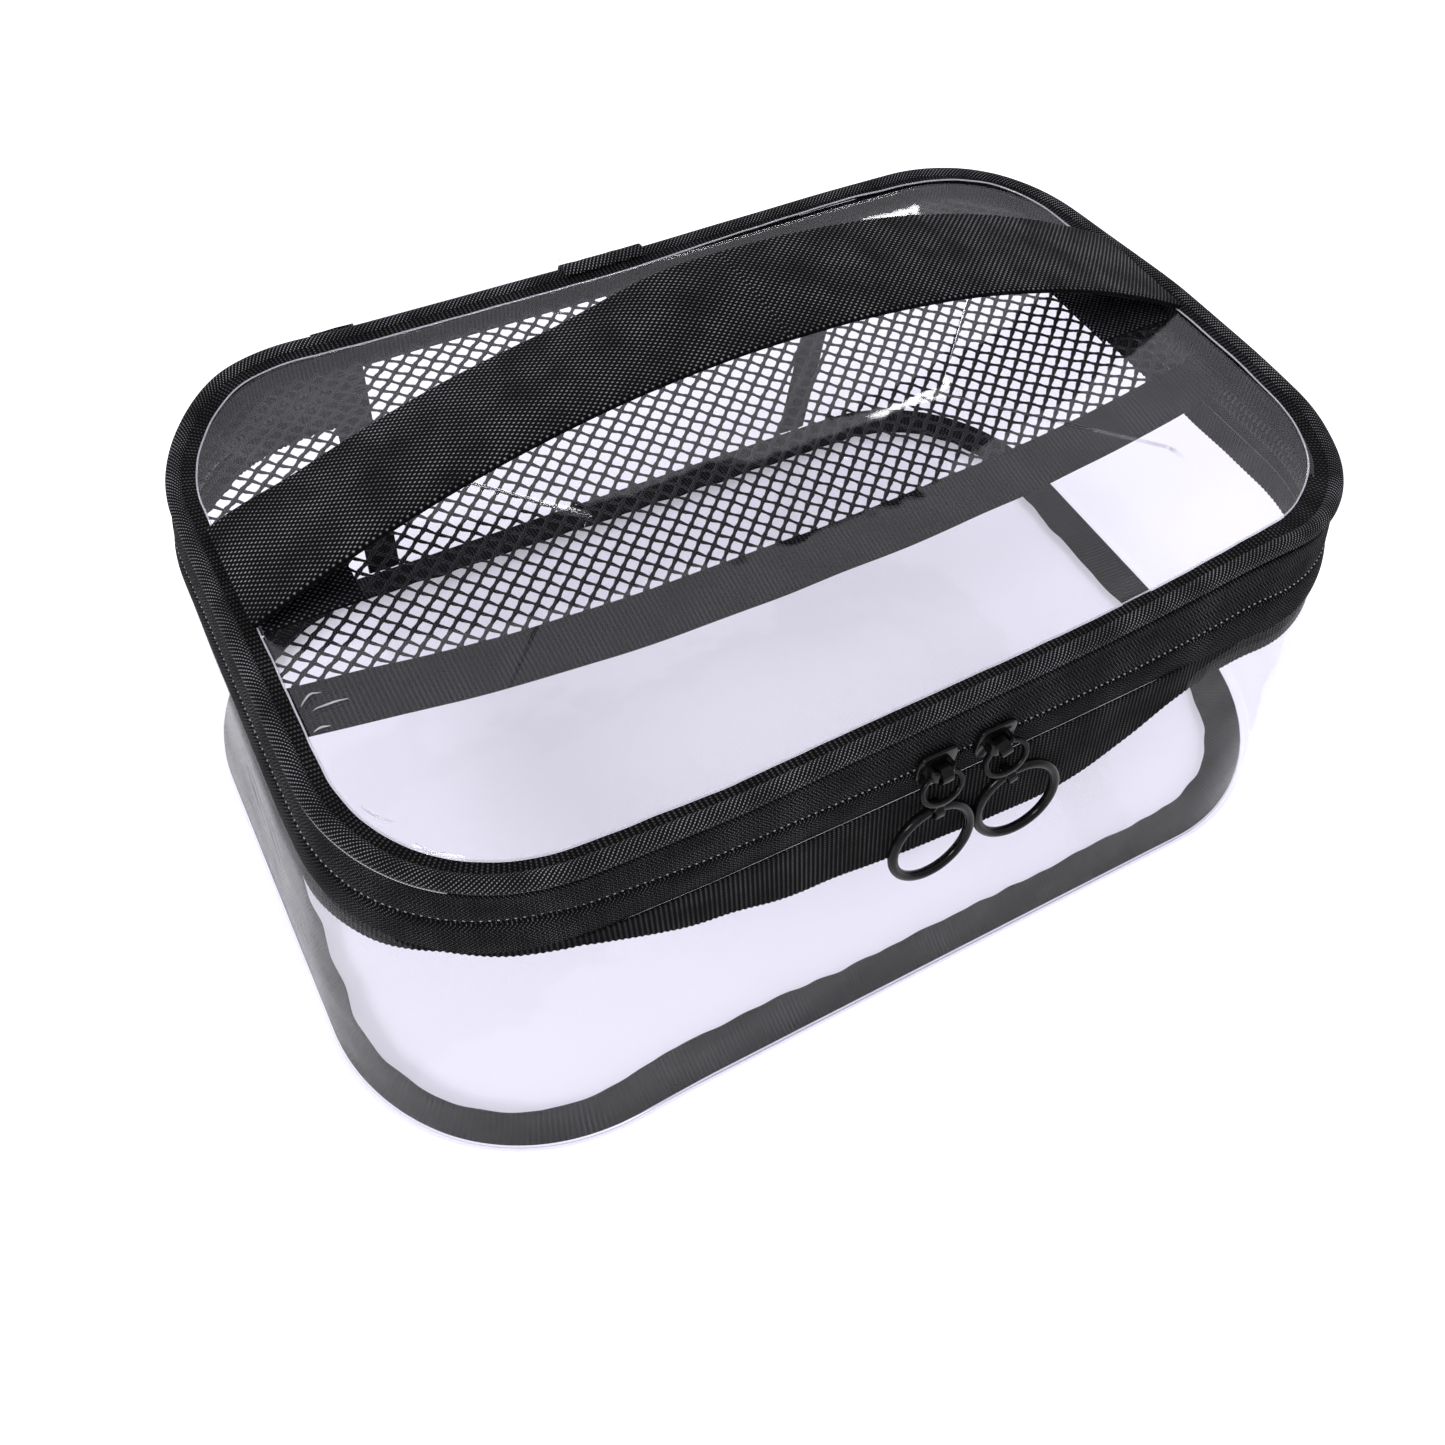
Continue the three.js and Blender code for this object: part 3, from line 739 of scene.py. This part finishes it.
def ridge(x, y, centre, heading, length, width, height):
    """A small raised fold."""
    c, s = math.cos(math.radians(heading)), math.sin(math.radians(heading))
    along = (x - centre[0]) * c + (y - centre[1]) * s
    across = -(x - centre[0]) * s + (y - centre[1]) * c
    return height * np.exp(-(along / length) ** 2 - (across / width) ** 2)


# centre, heading in degrees, length, width and height
LID_FOLDS = [
    ((-108.0, -14.0), 62, 7.0, 1.3, 1.0),
    ((-110.0, -22.0), 80, 6.0, 1.2, 0.7),
    ((-97.0, -48.0), -52, 7.0, 1.0, 0.55),
    ((-84.0, -60.0), -28, 6.0, 0.9, 0.45),
    ((104.0, -48.0), 48, 8.0, 1.4, 0.5),
    ((107.0, 30.0), 95, 12.0, 2.0, 0.4),
    ((-104.0, 50.0), 120, 10.0, 1.8, 0.4),
]
# painted highlight strokes on the lid's folds: start, end and bow
LID_CREASE_GLINTS = [
    ((-111.8, -27.8), (-108.6, -27.4), 0.3),
    ((-110.0, -46.1), (-105.9, -51.6), -0.6),
    ((-104.5, -57.2), (-100.6, -61.2), -0.5),
    ((-112.0, -21.5), (-107.6, -19.4), 0.6),
    ((-110.4, -23.4), (-103.6, -22.8), 0.7),
]
LID_INSETS = np.concatenate([
    [3.2, 4.2, 5.4, 6.6, 7.0, 7.3, 7.6, 7.9, 8.2, 8.6, 9.1, 9.8],
    [10.8, 12.0, 13.5, 15.0, 17.0, 19.0, 21.5, 24.0],
    np.linspace(27, 73, 19), [75.9],
])
BOTTOM_INSETS = np.concatenate([[1.9, 3.0, 5.0, 8.0, 12.0, 17.0], np.linspace(23, 86.4, 18)])


def lid_height(x, y, inset, rise):
    """The lid lies low under its edge tape, steps up at the weld, then runs slack inside."""
    step = 0.85 * np.clip((inset - 6.8) / 0.9, 0, 1) - 0.7 * np.clip((inset - 8.4) / 4.5, 0, 1)
    slack = field(x, y, 52, 40, 1.3) * np.clip((inset - 8) / 20, 0, 1)
    folds = sum(ridge(x, y, *fold) for fold in LID_FOLDS) * np.clip((inset - 8) / 3, 0, 1)
    return LID_Z + step + 0.6 * slack + folds + rise * np.exp(-inset / 34)


def add_flat_panels():
    stations, x, y = panel_loops(RIM, LID_INSETS, 2.2)
    z = lid_height(x, y, LID_INSETS[:, None], rim_rise(stations))
    place(flat_film("lid_panel", np.dstack([x, y, z])), "lid", "clear_vinyl", "lid_panel")
    add_crease_glints()

    stations, x, y = panel_loops(BASE, BOTTOM_INSETS, 5.0)
    rise = np.abs(field(x, y, 60, 45, 5.0)) * np.clip(BOTTOM_INSETS / 30 - 0.2, 0, 1)[:, None]
    film = flat_film("bottom_panel", np.dstack([x, y, 0.35 + 0.9 * rise]))
    place(film, "bag_body", "clear_vinyl", "bottom_panel")


def add_crease_glints():
    """Short pale strokes on the lid by its front left corner: painted highlights of its folds, drawn as
    milky vinyl tubes.
    """
    pieces = []
    share = np.linspace(0, 1, 13)
    arch = np.sin(math.pi * share)
    for start, end, bow in LID_CREASE_GLINTS:
        start, end = np.array(start), np.array(end)
        turned = np.array((start[1] - end[1], end[0] - start[0])) / np.linalg.norm(end - start)
        line = start + (end - start) * share[:, None] + turned * (bow * arch)[:, None]
        x, y = line.T
        z = lid_height(x, y, edge_distance(RIM, x, y), 0.4) + 0.3
        path = np.column_stack([line, z])
        pieces.append(tube("crease", path, 0.05 + 0.16 * arch, 6, False, [PAINTED_GLINT]))
    place(merge("lid_crease_glints", pieces), "lid", "clear_vinyl")


def flat_film(name, grid):
    """A thin closed film from loops that run from its edge to its middle."""
    half = np.array([0.0, 0.0, VINYL / 2])
    sections = np.concatenate([(grid - half)[::-1], grid + half])
    far = np.arange(len(sections)) * 2.0
    rim, size = len(grid) - 1, grid.shape[1]
    film = loft(name, sections, far, np.arange(size + 1) * 2.0, False, VINYL_LOOK, sharp=50)
    polygons = film.data.polygons
    slots = [int(k // size == rim) for k in range(len(polygons))]
    polygons.foreach_set("material_index", slots)
    return film


# ---- piping and tapes ----
def zip_stations(step):
    start, end = SEAM_X["right"] + ZIP_PAST_SEAM, AROUND + SEAM_X["left"] - ZIP_PAST_SEAM
    return np.linspace(start, end, int((end - start) / step))


def loop_stations(step):
    return np.linspace(0, AROUND, int(AROUND / step), endpoint=False)


def round_piping(stations, radius, angle):
    """Points round the middle of the piping."""
    out = (PIPING_OUT + rim_sway(stations))[:, None]
    up = (PIPING_Z + rim_rise(stations))[:, None]
    return side(stations, out + radius * np.cos(angle), up + radius * np.sin(angle))


def add_piping():
    stations = loop_stations(1.4)
    angle = np.arange(22) * TURN / 22
    swell = 1 + 0.03 * waves(stations, 17, 2.0)
    sections = round_piping(stations, (PIPING_R * swell)[:, None], angle)
    u = np.append(stations, AROUND)
    v = np.append(angle, TURN) * PIPING_R
    place(loft("lid_piping", sections, u, v, True, [TWILL]), "lid", "twill_tape", "lid_piping")

    lip = round_piping(np.linspace(464, 612, 110), 1.06 * PIPING_R, np.radians(-38))[:, 0]
    place(tube("piping_lip", lip, 0.15, 6, False, [PALE_THREAD]), "lid", "twill_tape")

    turn = np.radians(np.linspace(-30, 145, 16))
    stations = np.linspace(-15, 6, 22)
    grid = round_piping(stations, PIPING_R + 0.6 + 0.12 * waves(stations, 3.0, 8.0)[:, None], turn)
    wrap = ribbon("piping_join_wrap", grid, 0.6, stations, turn * PIPING_R, False, [TWILL])
    place(wrap, "lid", "twill_tape", "piping_join_wrap")


def tape_sheet(stations, top, bottom, curl_at_bottom, seed, count=14):
    """One zip tape between two heights: softly bulged, and rolled inwards at the slit."""
    t = np.linspace(0, 1, count)
    t = t - 0.06 * np.sin(TURN * t)
    towards = t if curl_at_bottom else 1 - t
    bulge = 0.42 * np.sin(math.pi * t) ** 0.8
    curl = 1.4 * np.clip((towards - 0.86) / 0.14, 0, 1) ** 2
    slack = 0.16 * waves(stations, 14, seed)[:, None] * np.sin(math.pi * t)
    sway = (rim_sway(stations) * 0.7)[:, None] * (1 - t if curl_at_bottom else 0 * t)
    offset = TAPE_OUT - 0.5 + bulge - curl + slack + sway
    z = top[:, None] + (bottom - top)[:, None] * t
    taper = np.interp(t, [0, 0.04, 0.96, 1], [0.4, 1, 1, 0.4])
    return side(stations, offset, z), taper, (1 - t) * 10


def add_zip_tapes():
    stations = zip_stations(1.2)
    slit = SLIT_Z + slit_rise(stations)
    rim = 85.6 + rim_rise(stations)
    low = np.full(len(stations), WEBBING_TOP_Z - 0.6) + 0.5 * slit_rise(stations)
    for name, top, bottom, curl_at_bottom, body, seed in (
        ("upper_zip_tape", rim, slit + 0.05, True, "lid", 2.0),
        ("lower_zip_tape", slit - 0.05, low, False, "bag_body", 5.0),
    ):
        grid, taper, v = tape_sheet(stations, top, bottom, curl_at_bottom, seed)
        tape = ribbon(name, grid, 0.8, stations, v, False, [ZIP_TAPE], taper=taper)
        place(tape, body, "twill_tape", name)

    dots = side(stations, [TAPE_OUT - 0.05], (slit + 0.95)[:, None])[:, 0]
    row = stitch_row("zip_edge_stitches", dots, 0.5, 1.0, 0.2, PALE_THREAD)
    place(row, "lid", "twill_tape")
    for number, drop in enumerate((1.5, 3.4)):
        seam = side(stations, [TAPE_OUT - 0.1], (slit - drop)[:, None])[:, 0]
        row = stitch_row(f"zip_seam_stitches_{number}", seam, 1.9, 0.5, 0.2, THREAD)
        place(row, "bag_body", "twill_tape")


def add_zip_coils():
    """Each half of the coil is a flattened helix behind its tape, turn by turn."""
    pitch, turn_steps = 1.5, 9
    start, end = zip_stations(1.0)[[0, -1]]
    count = int((end - start) / pitch) * turn_steps
    phase = np.arange(count) * TURN / turn_steps
    stations = start + np.arange(count) * pitch / turn_steps
    outward = np.array([(*station(s)[4:], 0.0) for s in stations]) + (0.001, 0.0, 0.0)
    offset = -3.55 + 0.72 * np.sin(phase)[:, None]
    for name, sign, body in (("upper_zip_coil", 1, "lid"), ("lower_zip_coil", -1, "bag_body")):
        z = SLIT_Z + slit_rise(stations) + sign * (1.45 + 1.0 * np.cos(phase))
        path = side(stations, offset, z[:, None])[:, 0]
        coil = tube(name, path, 0.3, 5, False, [NYLON], up=outward)
        place(coil, body, "zip_coil", name)


WEBBING_LOW = [(60, 61), (240, 63), (278, 64.5), (293, 62.8), (303, 60.6), (311, 55.7), (320, 51.9),
               (330, 49.4), (341, 49.4), (353, 50.3), (372, 52.1), (385, 54.3), (397, 54.9),
               (410, 58.1), (423, 61.0), (436, 67.0), (446, 70.6), (457, 70.6), (468, 68.8),
               (478, 65.8), (500, 60), (560, 61)]
WEBBING_TUCK = [(60, 1), (285, 1), (305, 0), (436, 0), (462, 1)]


def add_wall_webbing():
    """The webbing lies over the wall in front and is tucked behind it round the corners."""
    stations = zip_stations(0.26)
    places, taper = across_steps(1.0, 7, 0.06)
    top = WEBBING_TOP_Z + 0.5 * slit_rise(stations)
    low = np.minimum(along_rim(stations, WEBBING_LOW), top - 2.0) + 0.35 * waves(stations, 11, 4.0)
    low -= 0.45 * np.abs(np.sin(math.pi * stations / 1.3))
    z = top[:, None] + (low - top)[:, None] * places
    stand = 0.18 * waves(stations, 15, 6.0)[:, None] * places ** 2
    tuck = along_rim(stations, WEBBING_TUCK)[:, None]
    offset = TAPE_OUT + 0.35 + 0.25 * places - tuck * (1.6 + 0.3 * np.clip(places * 4, 0, 1))
    grid = side(stations, offset + stand, z)
    v = 16 * places
    piece = ribbon("wall_top_webbing", grid, 0.7, stations, v, False, [GROSGRAIN], taper=taper)
    place(piece, "bag_body", "grosgrain", "wall_top_webbing")


def rim_ribbon(name, body, stations, offset, z, v, taper):
    """A closed grosgrain ribbon all the way round."""
    grid = side(stations, offset, z)
    u = np.append(stations, AROUND)
    place(ribbon(name, grid, 0.6, u, v, True, [GROSGRAIN], taper=taper), body, "grosgrain", name)


EDGE_REACH = [(0, 2.9), (20, 1.9), (45, 1.2), (65, 0.9), (84, 1.9), (108, 0.9), (125, 1.8), (140, 3.0),
              (200, 2.6), (232, 3.4), (256, 4.6), (280, 3.2), (300, 2.3), (330, 2.1), (430, 2.1),
              (470, 2.3), (560, 2.5), (650, 2.8)]


def add_edge_ribbons():
    stations = loop_stations(1.3)
    sway, rise = rim_sway(stations)[:, None], rim_rise(stations)[:, None]
    places, taper = across_steps(1.0, 5, 0.14)
    reach = 0.9 + along_rim(stations, EDGE_REACH)[:, None] + 0.15 * waves(stations, 7, 9.0)[:, None]
    fall = 0.1 * waves(stations, 9, 3.0)[:, None]
    z = LID_Z + 0.75 - 0.2 * places + fall + rise * 0.92
    offset = PIPING_OUT - 0.9 - reach * places + sway
    rim_ribbon("lid_edge_tape", "lid", stations, offset, z, places * 3, taper)
    # a pale milky tube along the lid's step: a painted highlight line
    offset, z = PIPING_OUT - 1.05 - reach + sway, LID_Z + 0.95 + fall + rise * 0.92
    bead = side(stations, offset, z)[:, 0]
    thickness = 0.2 + 0.05 * waves(stations, 20, 3.3)
    place(tube("lid_step_highlight", bead, thickness, 6, True, [PAINTED_GLINT]), "lid", "clear_vinyl")

    places, taper = across_steps(7.4, 6, 0.5)
    z = 86.8 - places + 0.2 * waves(stations, 12, 1.0)[:, None] + rise * 0.8
    offset = -4.1 + 0.12 * waves(stations, 8, 5.0)[:, None] + 0 * places
    rim_ribbon("lid_inner_binding", "lid", stations, offset, z, places, taper)


BINDING_WIDTH = 12.4
BINDING_REACH = [(0, 10.5), (110, 11.5), (180, 12.0), (235, 11.5), (262, 8.0), (290, 6.0), (330, 5.6),
                 (370, 5.8), (396, 7.2), (424, 7.8), (445, 6.0), (465, 4.6), (500, 4.8), (540, 6.0),
                 (590, 8.0), (640, 9.5)]


def add_bottom_binding():
    """Ribbon over the bottom seam: flat by the wall, and standing up in waves further in."""
    stations = loop_stations(0.8)
    places, taper = across_steps(BINDING_WIDTH, 12, 0.5)
    t = places / places[-1]
    ruffle = 0.5 + 0.5 * waves(stations, 13, 11.0) + 0.22 * waves(stations, 4.5, 12.0)
    reach = along_rim(stations, BINDING_REACH)[:, None]
    z = 1.0 + (BINDING_WIDTH + 0.2 - reach) * 0.5 * t ** 1.3 + ruffle[:, None] * 1.3 * t ** 2
    offset = -2.2 - reach * t + 0.7 * waves(stations, 8, 14.0)[:, None] * t ** 3
    rim_ribbon("bottom_binding", "bag_body", stations, offset, z, places, taper)


def add_rear_seams():
    z = np.concatenate([np.linspace(2.8, 70, 40), np.linspace(71.5, 84.6, 16)])
    places, taper = across_steps(SEAM_TAPE_WIDTH, 6, 0.5)
    bow = 0.25 * np.sin(math.pi * places / SEAM_TAPE_WIDTH)[:, None]
    for side_name, centre in SEAM_X.items():
        name = f"rear_seam_tape_{side_name}"
        offset = -2.75 - bow + 0.12 * waves(z, 9, 3.0 + centre)
        grid = side(centre - SEAM_TAPE_WIDTH / 2 + places, offset, z).transpose(1, 0, 2)
        tape = ribbon(name, grid, 0.6, z, places, False, [GROSGRAIN], taper=taper)
        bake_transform(tape)
        finish_piece(tape, "grosgrain", name)


def add_zip_ends():
    for side_name, centre in SEAM_X.items():
        name = f"zip_end_tab_{side_name}"
        low, high = box_mm(name)
        x, z = np.linspace(low.x, high.x, 12), np.linspace(low.z, min(high.z, 87.4), 8)
        gx, gz = plane(x, z)
        fold = 0.25 * np.sin((gx - low.x) / 3.0) + 0.2 * field(gx, gz, 3, 3, centre)
        grid = np.dstack([gx, low.y + 0.45 + fold, gz])
        place(ribbon(name, grid, 0.7, x, z, False, [ZIP_TAPE]), "lid", "twill_tape", name)
    x, z = np.linspace(-66, -14, 60), np.linspace(84.8, 89.7, 8)
    gx, gz = plane(x, z)
    lean = (gz - 84.6) * 0.1 + 0.2 * waves(x, 12, 4.0)[:, None]
    grid = np.dstack([gx, 76.3 + lean, gz])
    edge = ribbon("rear_seam_allowance", grid, VINYL, x, z, False, VINYL_LOOK, edge_slot=1)
    place(edge, "lid", "clear_vinyl")


# ---- handle ----
def strap_z(x):
    return STRAP_REST_Z + STRAP_ARCH * (1 - np.minimum(np.abs(x) / STRAP_END, 1) ** 2.1)


def strap_twist(x, centre):
    """The strap's rear edge leans down along its left half."""
    middle = smooth((-x - 8) / 34) * (1 - 0.5 * smooth((-x - 92) / 20))
    return -4.4 * middle * ((centre + 1) / 2) ** 1.3


def add_handle():
    places, taper = across_steps(STRAP_WIDTH, 17, 0.7)
    y = STRAP_Y - STRAP_WIDTH / 2 + places
    for name, sign in (("left", -1), ("right", 1)):
        x = np.linspace(0, sign * STRAP_END, 110)
        gx, gy = plane(x, y)
        centre = (gy - STRAP_Y) / (STRAP_WIDTH / 2)
        raised = (strap_z(gx) - STRAP_REST_Z) / STRAP_ARCH
        cup = -0.6 * centre ** 2 * raised + strap_twist(gx, centre)
        ripple = 0.25 * field(gx, gy, 24, 14, 2.2)
        grid = np.dstack([gx, gy, strap_z(gx) + cup + ripple * raised])
        u = length_along(np.column_stack([x, strap_z(x)]))
        half = ribbon(f"handle_strap_{name}", grid, STRAP_THICK, u, places, False, [WEBBING],
                      taper=taper, sharp=60)
        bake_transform(half)
        nodes = ["handle_root_" + name] + (["handle_strap"] if name == "left" else [])
        finish_piece(half, "handle_webbing", *nodes)

        tail_name = f"handle_tail_{name}"
        low, high = box_mm(tail_name)
        x = np.linspace(low.x, high.x, 16)
        across, thin = across_steps(high.y - low.y, 12, 0.5)
        gx, gy = plane(x, low.y + across)
        z = (low.z + high.z) / 2 - 0.2 + 0.25 * field(gx, gy, 9, 9, 6.2)
        grid = np.dstack([gx, gy, z])
        tail = ribbon(tail_name, grid, 0.9, x, across, False, [WEBBING], taper=thin)
        place(tail, "lid", "handle_webbing", tail_name)


# ---- net pocket ----
def pocket_drop(x, y):
    middle = np.clip(1 - (np.abs(x) / 116) ** 2.5, 0, 1)
    depth = np.clip((RIM.b - y) / (RIM.b - POCKET_MOUTH_Y), 0, 1.15) ** 1.5
    return POCKET_SAG * middle * depth


def pocket_half_span(y):
    radius = RIM.r - (RIM.a - POCKET_SIDE)
    past = np.clip(y - (RIM.b - (RIM.a - POCKET_SIDE) - radius), 0, radius)
    return POCKET_SIDE - radius + np.sqrt(np.maximum(radius ** 2 - past ** 2, 0))


def pocket_z(x, y):
    return POCKET_Z - pocket_drop(x, y) + 0.35 * wave(x / 30, y / 22, 9.0)


def net_thread(lines, sign, slant, intercept, rear_y):
    """Points along one net thread from the middle outwards, inside the pocket's outline."""
    step = NET_PITCH_X / 8
    run = []
    for number in range(int(POCKET_SIDE / step) + 1):
        x = sign * number * step
        y = intercept + slant * x * NET_PITCH_Y / NET_PITCH_X
        inside = POCKET_MOUTH_Y - 0.4 <= y <= rear_y and abs(x) <= pocket_half_span(y)
        if inside:
            over = 0.16 * math.cos(math.pi * number / 4) * slant
            sway = 0.14 * wave(x / 4, y / 4, slant)
            run.append((x, y + sway, pocket_z(x, y) + over))
        if (not inside or number == int(POCKET_SIDE / step)) and len(run) > 2:
            lines.append(np.array(run))
        if not inside:
            run = []


def add_net():
    rear_y = RIM.b - 5.0
    reach = int((RIM.b + POCKET_SIDE * NET_PITCH_Y / NET_PITCH_X) / NET_PITCH_Y) + 2
    for name, sign in (("left", -1), ("right", 1)):
        threads = []
        for slant, radius in ((1, 0.5), (-1, 0.36)):
            lines = []
            for number in range(-reach * 2, reach * 2):
                net_thread(lines, sign, slant, 1.1 + number * NET_PITCH_Y, rear_y)
            for line in lines:
                count = len(line)
                knot = 1 + 0.22 * np.cos(np.arange(count) * math.pi / 2)
                threads.append(tube("thread", line, radius * knot, 6, False, [NET_YARN]))
        net = merge(f"pocket_mesh_{name}", threads)
        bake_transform(net)
        finish_piece(net, "pocket_net", *(["pocket_mesh"] if name == "left" else []))


def add_pocket_binding():
    places, taper = across_steps(POCKET_BINDING, 8, 0.5)
    for name, sign in (("left", -1), ("right", 1)):
        x = np.linspace(0, sign * (POCKET_SIDE + 0.4), 150)
        gx, gy = plane(x, POCKET_MOUTH_Y - POCKET_BINDING + places)
        sway = 0.5 * waves(x, 26, 7.0)[:, None]
        z = np.vectorize(pocket_z)(gx, gy) + 0.15 + 0.5 * field(gx, gy, 18, 10, 2.0)
        piece = ribbon(f"pocket_binding_{name}", np.dstack([gx, gy + sway, z]), 1.0, x, places, False,
                       [GROSGRAIN], taper=taper, sharp=60)
        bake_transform(piece)
        finish_piece(piece, "grosgrain", *(["pocket_binding"] if name == "left" else []))


# ---- sliders and pulls ----
TAPE_FACE_Y = -76.8
PLATE_FACE_Y = -78.2
BAR_Y = -80.1
LINK_DROP = 10.9
LINK_LEAN = 1.1


def rounded(half_x, low_z, high_z, low_r, high_r, steps=7):
    """A rounded outline whose lower and upper corners have their own radii."""
    points = []
    corners = [(1, high_z, high_r), (-1, high_z, high_r), (-1, low_z, low_r), (1, low_z, low_r)]
    for quarter, (sign, z, r) in enumerate(corners):
        centre = (sign * (half_x - r), z - r if z == high_z else z + r)
        for step in range(steps + 1):
            angle = math.radians(90 * quarter + 90 * step / steps)
            points.append((centre[0] + r * math.cos(angle), centre[1] + r * math.sin(angle)))
    return points


# name, outline, y of the front and the back, bevel and its segments
SLIDER_PLATES = [
    ("front_plate", rounded(4.7, -5.6, 4.2, 4.0, 2.2), -1.3, -0.2, 0.4, 3),
    ("rear_plate", rounded(5.6, -3.9, 3.9, 2.2, 2.2), 4.6, 5.8, 0.35, 3),
    ("wedge", rounded(4.0, -0.2, 0.2, 0.19, 0.19, 2), -0.8, 5.0, 0.05, 1),
]


def plate_solid(name, outline, front, back, bevel, segments):
    """A metal plate with the given outline in x and z, and rounded edges."""
    count = len(outline)
    points = [(x, y, z) for y in (front, back) for x, z in outline]
    faces = [tuple(range(count)), tuple(reversed(range(count, 2 * count)))]
    faces += [((k + 1) % count, k, count + k, count + (k + 1) % count) for k in range(count)]
    uvs = [(0.0, 0.0)] * sum(len(face) for face in faces)
    piece = make_piece(name, points, faces, uvs, [METAL])
    modifier = piece.modifiers.new("bevel", "BEVEL")
    modifier.width = bevel * MM
    modifier.segments = segments
    modifier.limit_method = "ANGLE"
    modifier.angle_limit = math.radians(40)
    bpy.context.view_layer.objects.active = piece
    bpy.ops.object.modifier_apply(modifier=modifier.name)
    piece.data.set_sharp_from_angle(angle=math.radians(50))
    return piece


def metal_loop(name, path, normal, half_wide, half_thick, closed=True):
    """A cast bar of rounded section along a path that lies in the plane of the given normal."""
    points = np.asarray(path, float)
    if closed:
        tangent = np.roll(points, -1, axis=0) - np.roll(points, 1, axis=0)
    else:
        tangent = np.gradient(points, axis=0)
    tangent /= np.linalg.norm(tangent, axis=1, keepdims=True)
    normal = np.asarray(normal, float)
    corner = 0.6 * half_thick
    outline = np.array(rounded(half_wide, -half_thick, half_thick, corner, corner, 4))
    outward = np.cross(tangent, normal)[:, None]
    sections = points[:, None] + outline[:, :1] * normal + outline[:, 1:] * outward
    u = np.arange(len(points) + 1) * 0.6
    v = np.arange(len(outline) + 1) * 0.3
    return loft(name, sections, u, v, closed, [METAL], sharp=60)


def add_slider_body(name, x):
    body = merge(f"slider_body_{name}", [plate_solid(*plate) for plate in SLIDER_PLATES])
    body.data.transform(Matrix.Translation(Vector((x, TAPE_FACE_Y, SLIDER_Z)) * MM))
    place(body, f"slider_{name}", "black_metal", f"slider_body_{name}")


def arch_path(half, foot, top, r=1.1, steps=8):
    """A bridge in x and y: up from one foot, over in rounded corners and down to the other."""
    points = [(-half, foot)]
    for middle, first in ((-half + r, math.pi), (half - r, math.pi / 2)):
        for step in range(steps + 1):
            angle = first - math.pi / 2 * step / steps
            points.append((middle + r * math.cos(angle), top + r - r * math.sin(angle)))
    return points + [(half, foot)]


def add_crown(name, x):
    arch = arch_path(2.35, PLATE_FACE_Y + 0.3, BAR_Y - 0.3)
    path = [(px + x, py, SLIDER_Z) for px, py in arch]
    crown = metal_loop(f"slider_crown_{name}", path, (0, 0, 1.0), 1.5, 0.55, closed=False)
    place(crown, f"slider_{name}", "black_metal", f"slider_crown_{name}")


def hang(piece, name, x, turned, body):
    """Moves a pull's part from the bar's frame to its place, and rides it."""
    swing = Matrix.Rotation(PULL_SWING[name], 4, "Y")
    matrix = Matrix.Translation((x, BAR_Y, SLIDER_Z)) @ swing @ turned
    matrix.translation *= MM
    piece.data.transform(matrix)
    place(piece, body, "black_metal", f"pull_{body}")


def circle(radius, drop=0.0):
    """An upright circle in y and z, its centre a drop below the bar."""
    angles = np.linspace(0, TURN, 28, endpoint=False)
    return [(0.0, radius * math.cos(a), radius * math.sin(a) - drop) for a in angles]


def add_link(name, x):
    """The cast bail: an eye round the crown's bar, a wide rounded loop, a neck and the ring's eye."""
    lean, length = math.atan2(LINK_LEAN, LINK_DROP), math.hypot(LINK_LEAN, LINK_DROP)
    wide = []
    for a in np.linspace(0, TURN, 48, endpoint=False):
        drop = -3.7 + 3.5 * math.sin(a)
        wide.append((4.7 * math.cos(a), 0.75 + 0.33 * drop, drop))
    neck = [(0.0, 0.75 + 0.33 * -7.0 + 0.15 * k, -7.0 - 0.62 * k) for k in range(6)]
    link = merge(f"pull_link_{name}", [
        metal_loop("bar_eye", circle(1.72), (1.0, 0, 0), 1.3, 0.3),
        metal_loop("wide_loop", wide, (0, 1.0, 0), 0.6, 0.6),
        metal_loop("neck", neck, (1.0, 0, 0), 1.3, 0.45, closed=False),
        metal_loop("ring_eye", circle(1.75, length), (1.0, 0, 0), 1.0, 0.38),
    ])
    hang(link, name, x, Matrix.Rotation(-lean, 4, "X"), f"link_{name}")


def add_ring(name, x):
    turns, sides = 96, 18
    around = (TURN * np.arange(turns) / turns)[:, None]
    angle = TURN * np.arange(sides) / sides
    radius = RING_R + RING_WIRE * np.cos(angle)
    depth = np.broadcast_to(RING_WIRE * np.sin(angle), (turns, sides))
    sections = np.dstack([radius * np.cos(around), depth, radius * np.sin(around) - RING_R])
    u = np.arange(turns + 1) * TURN * RING_R / turns
    v = np.arange(sides + 1) * TURN * RING_WIRE / sides
    ring = loft(f"pull_ring_{name}", sections, u, v, True, [METAL])
    eye = Matrix.Translation((0, -LINK_LEAN, -LINK_DROP)) @ Matrix.Rotation(-RING_TILT, 4, "X")
    hang(ring, name, x, eye, f"ring_{name}")


add_camera()
add_studio()
add_walls()
add_flat_panels()
add_piping()
add_zip_tapes()
add_zip_coils()
add_wall_webbing()
add_edge_ribbons()
add_bottom_binding()
add_rear_seams()
add_zip_ends()
add_handle()
add_net()
add_pocket_binding()
for side_name, slider_x in SLIDER_X.items():
    add_slider_body(side_name, slider_x)
    add_crown(side_name, slider_x)
    add_link(side_name, slider_x)
    add_ring(side_name, slider_x)
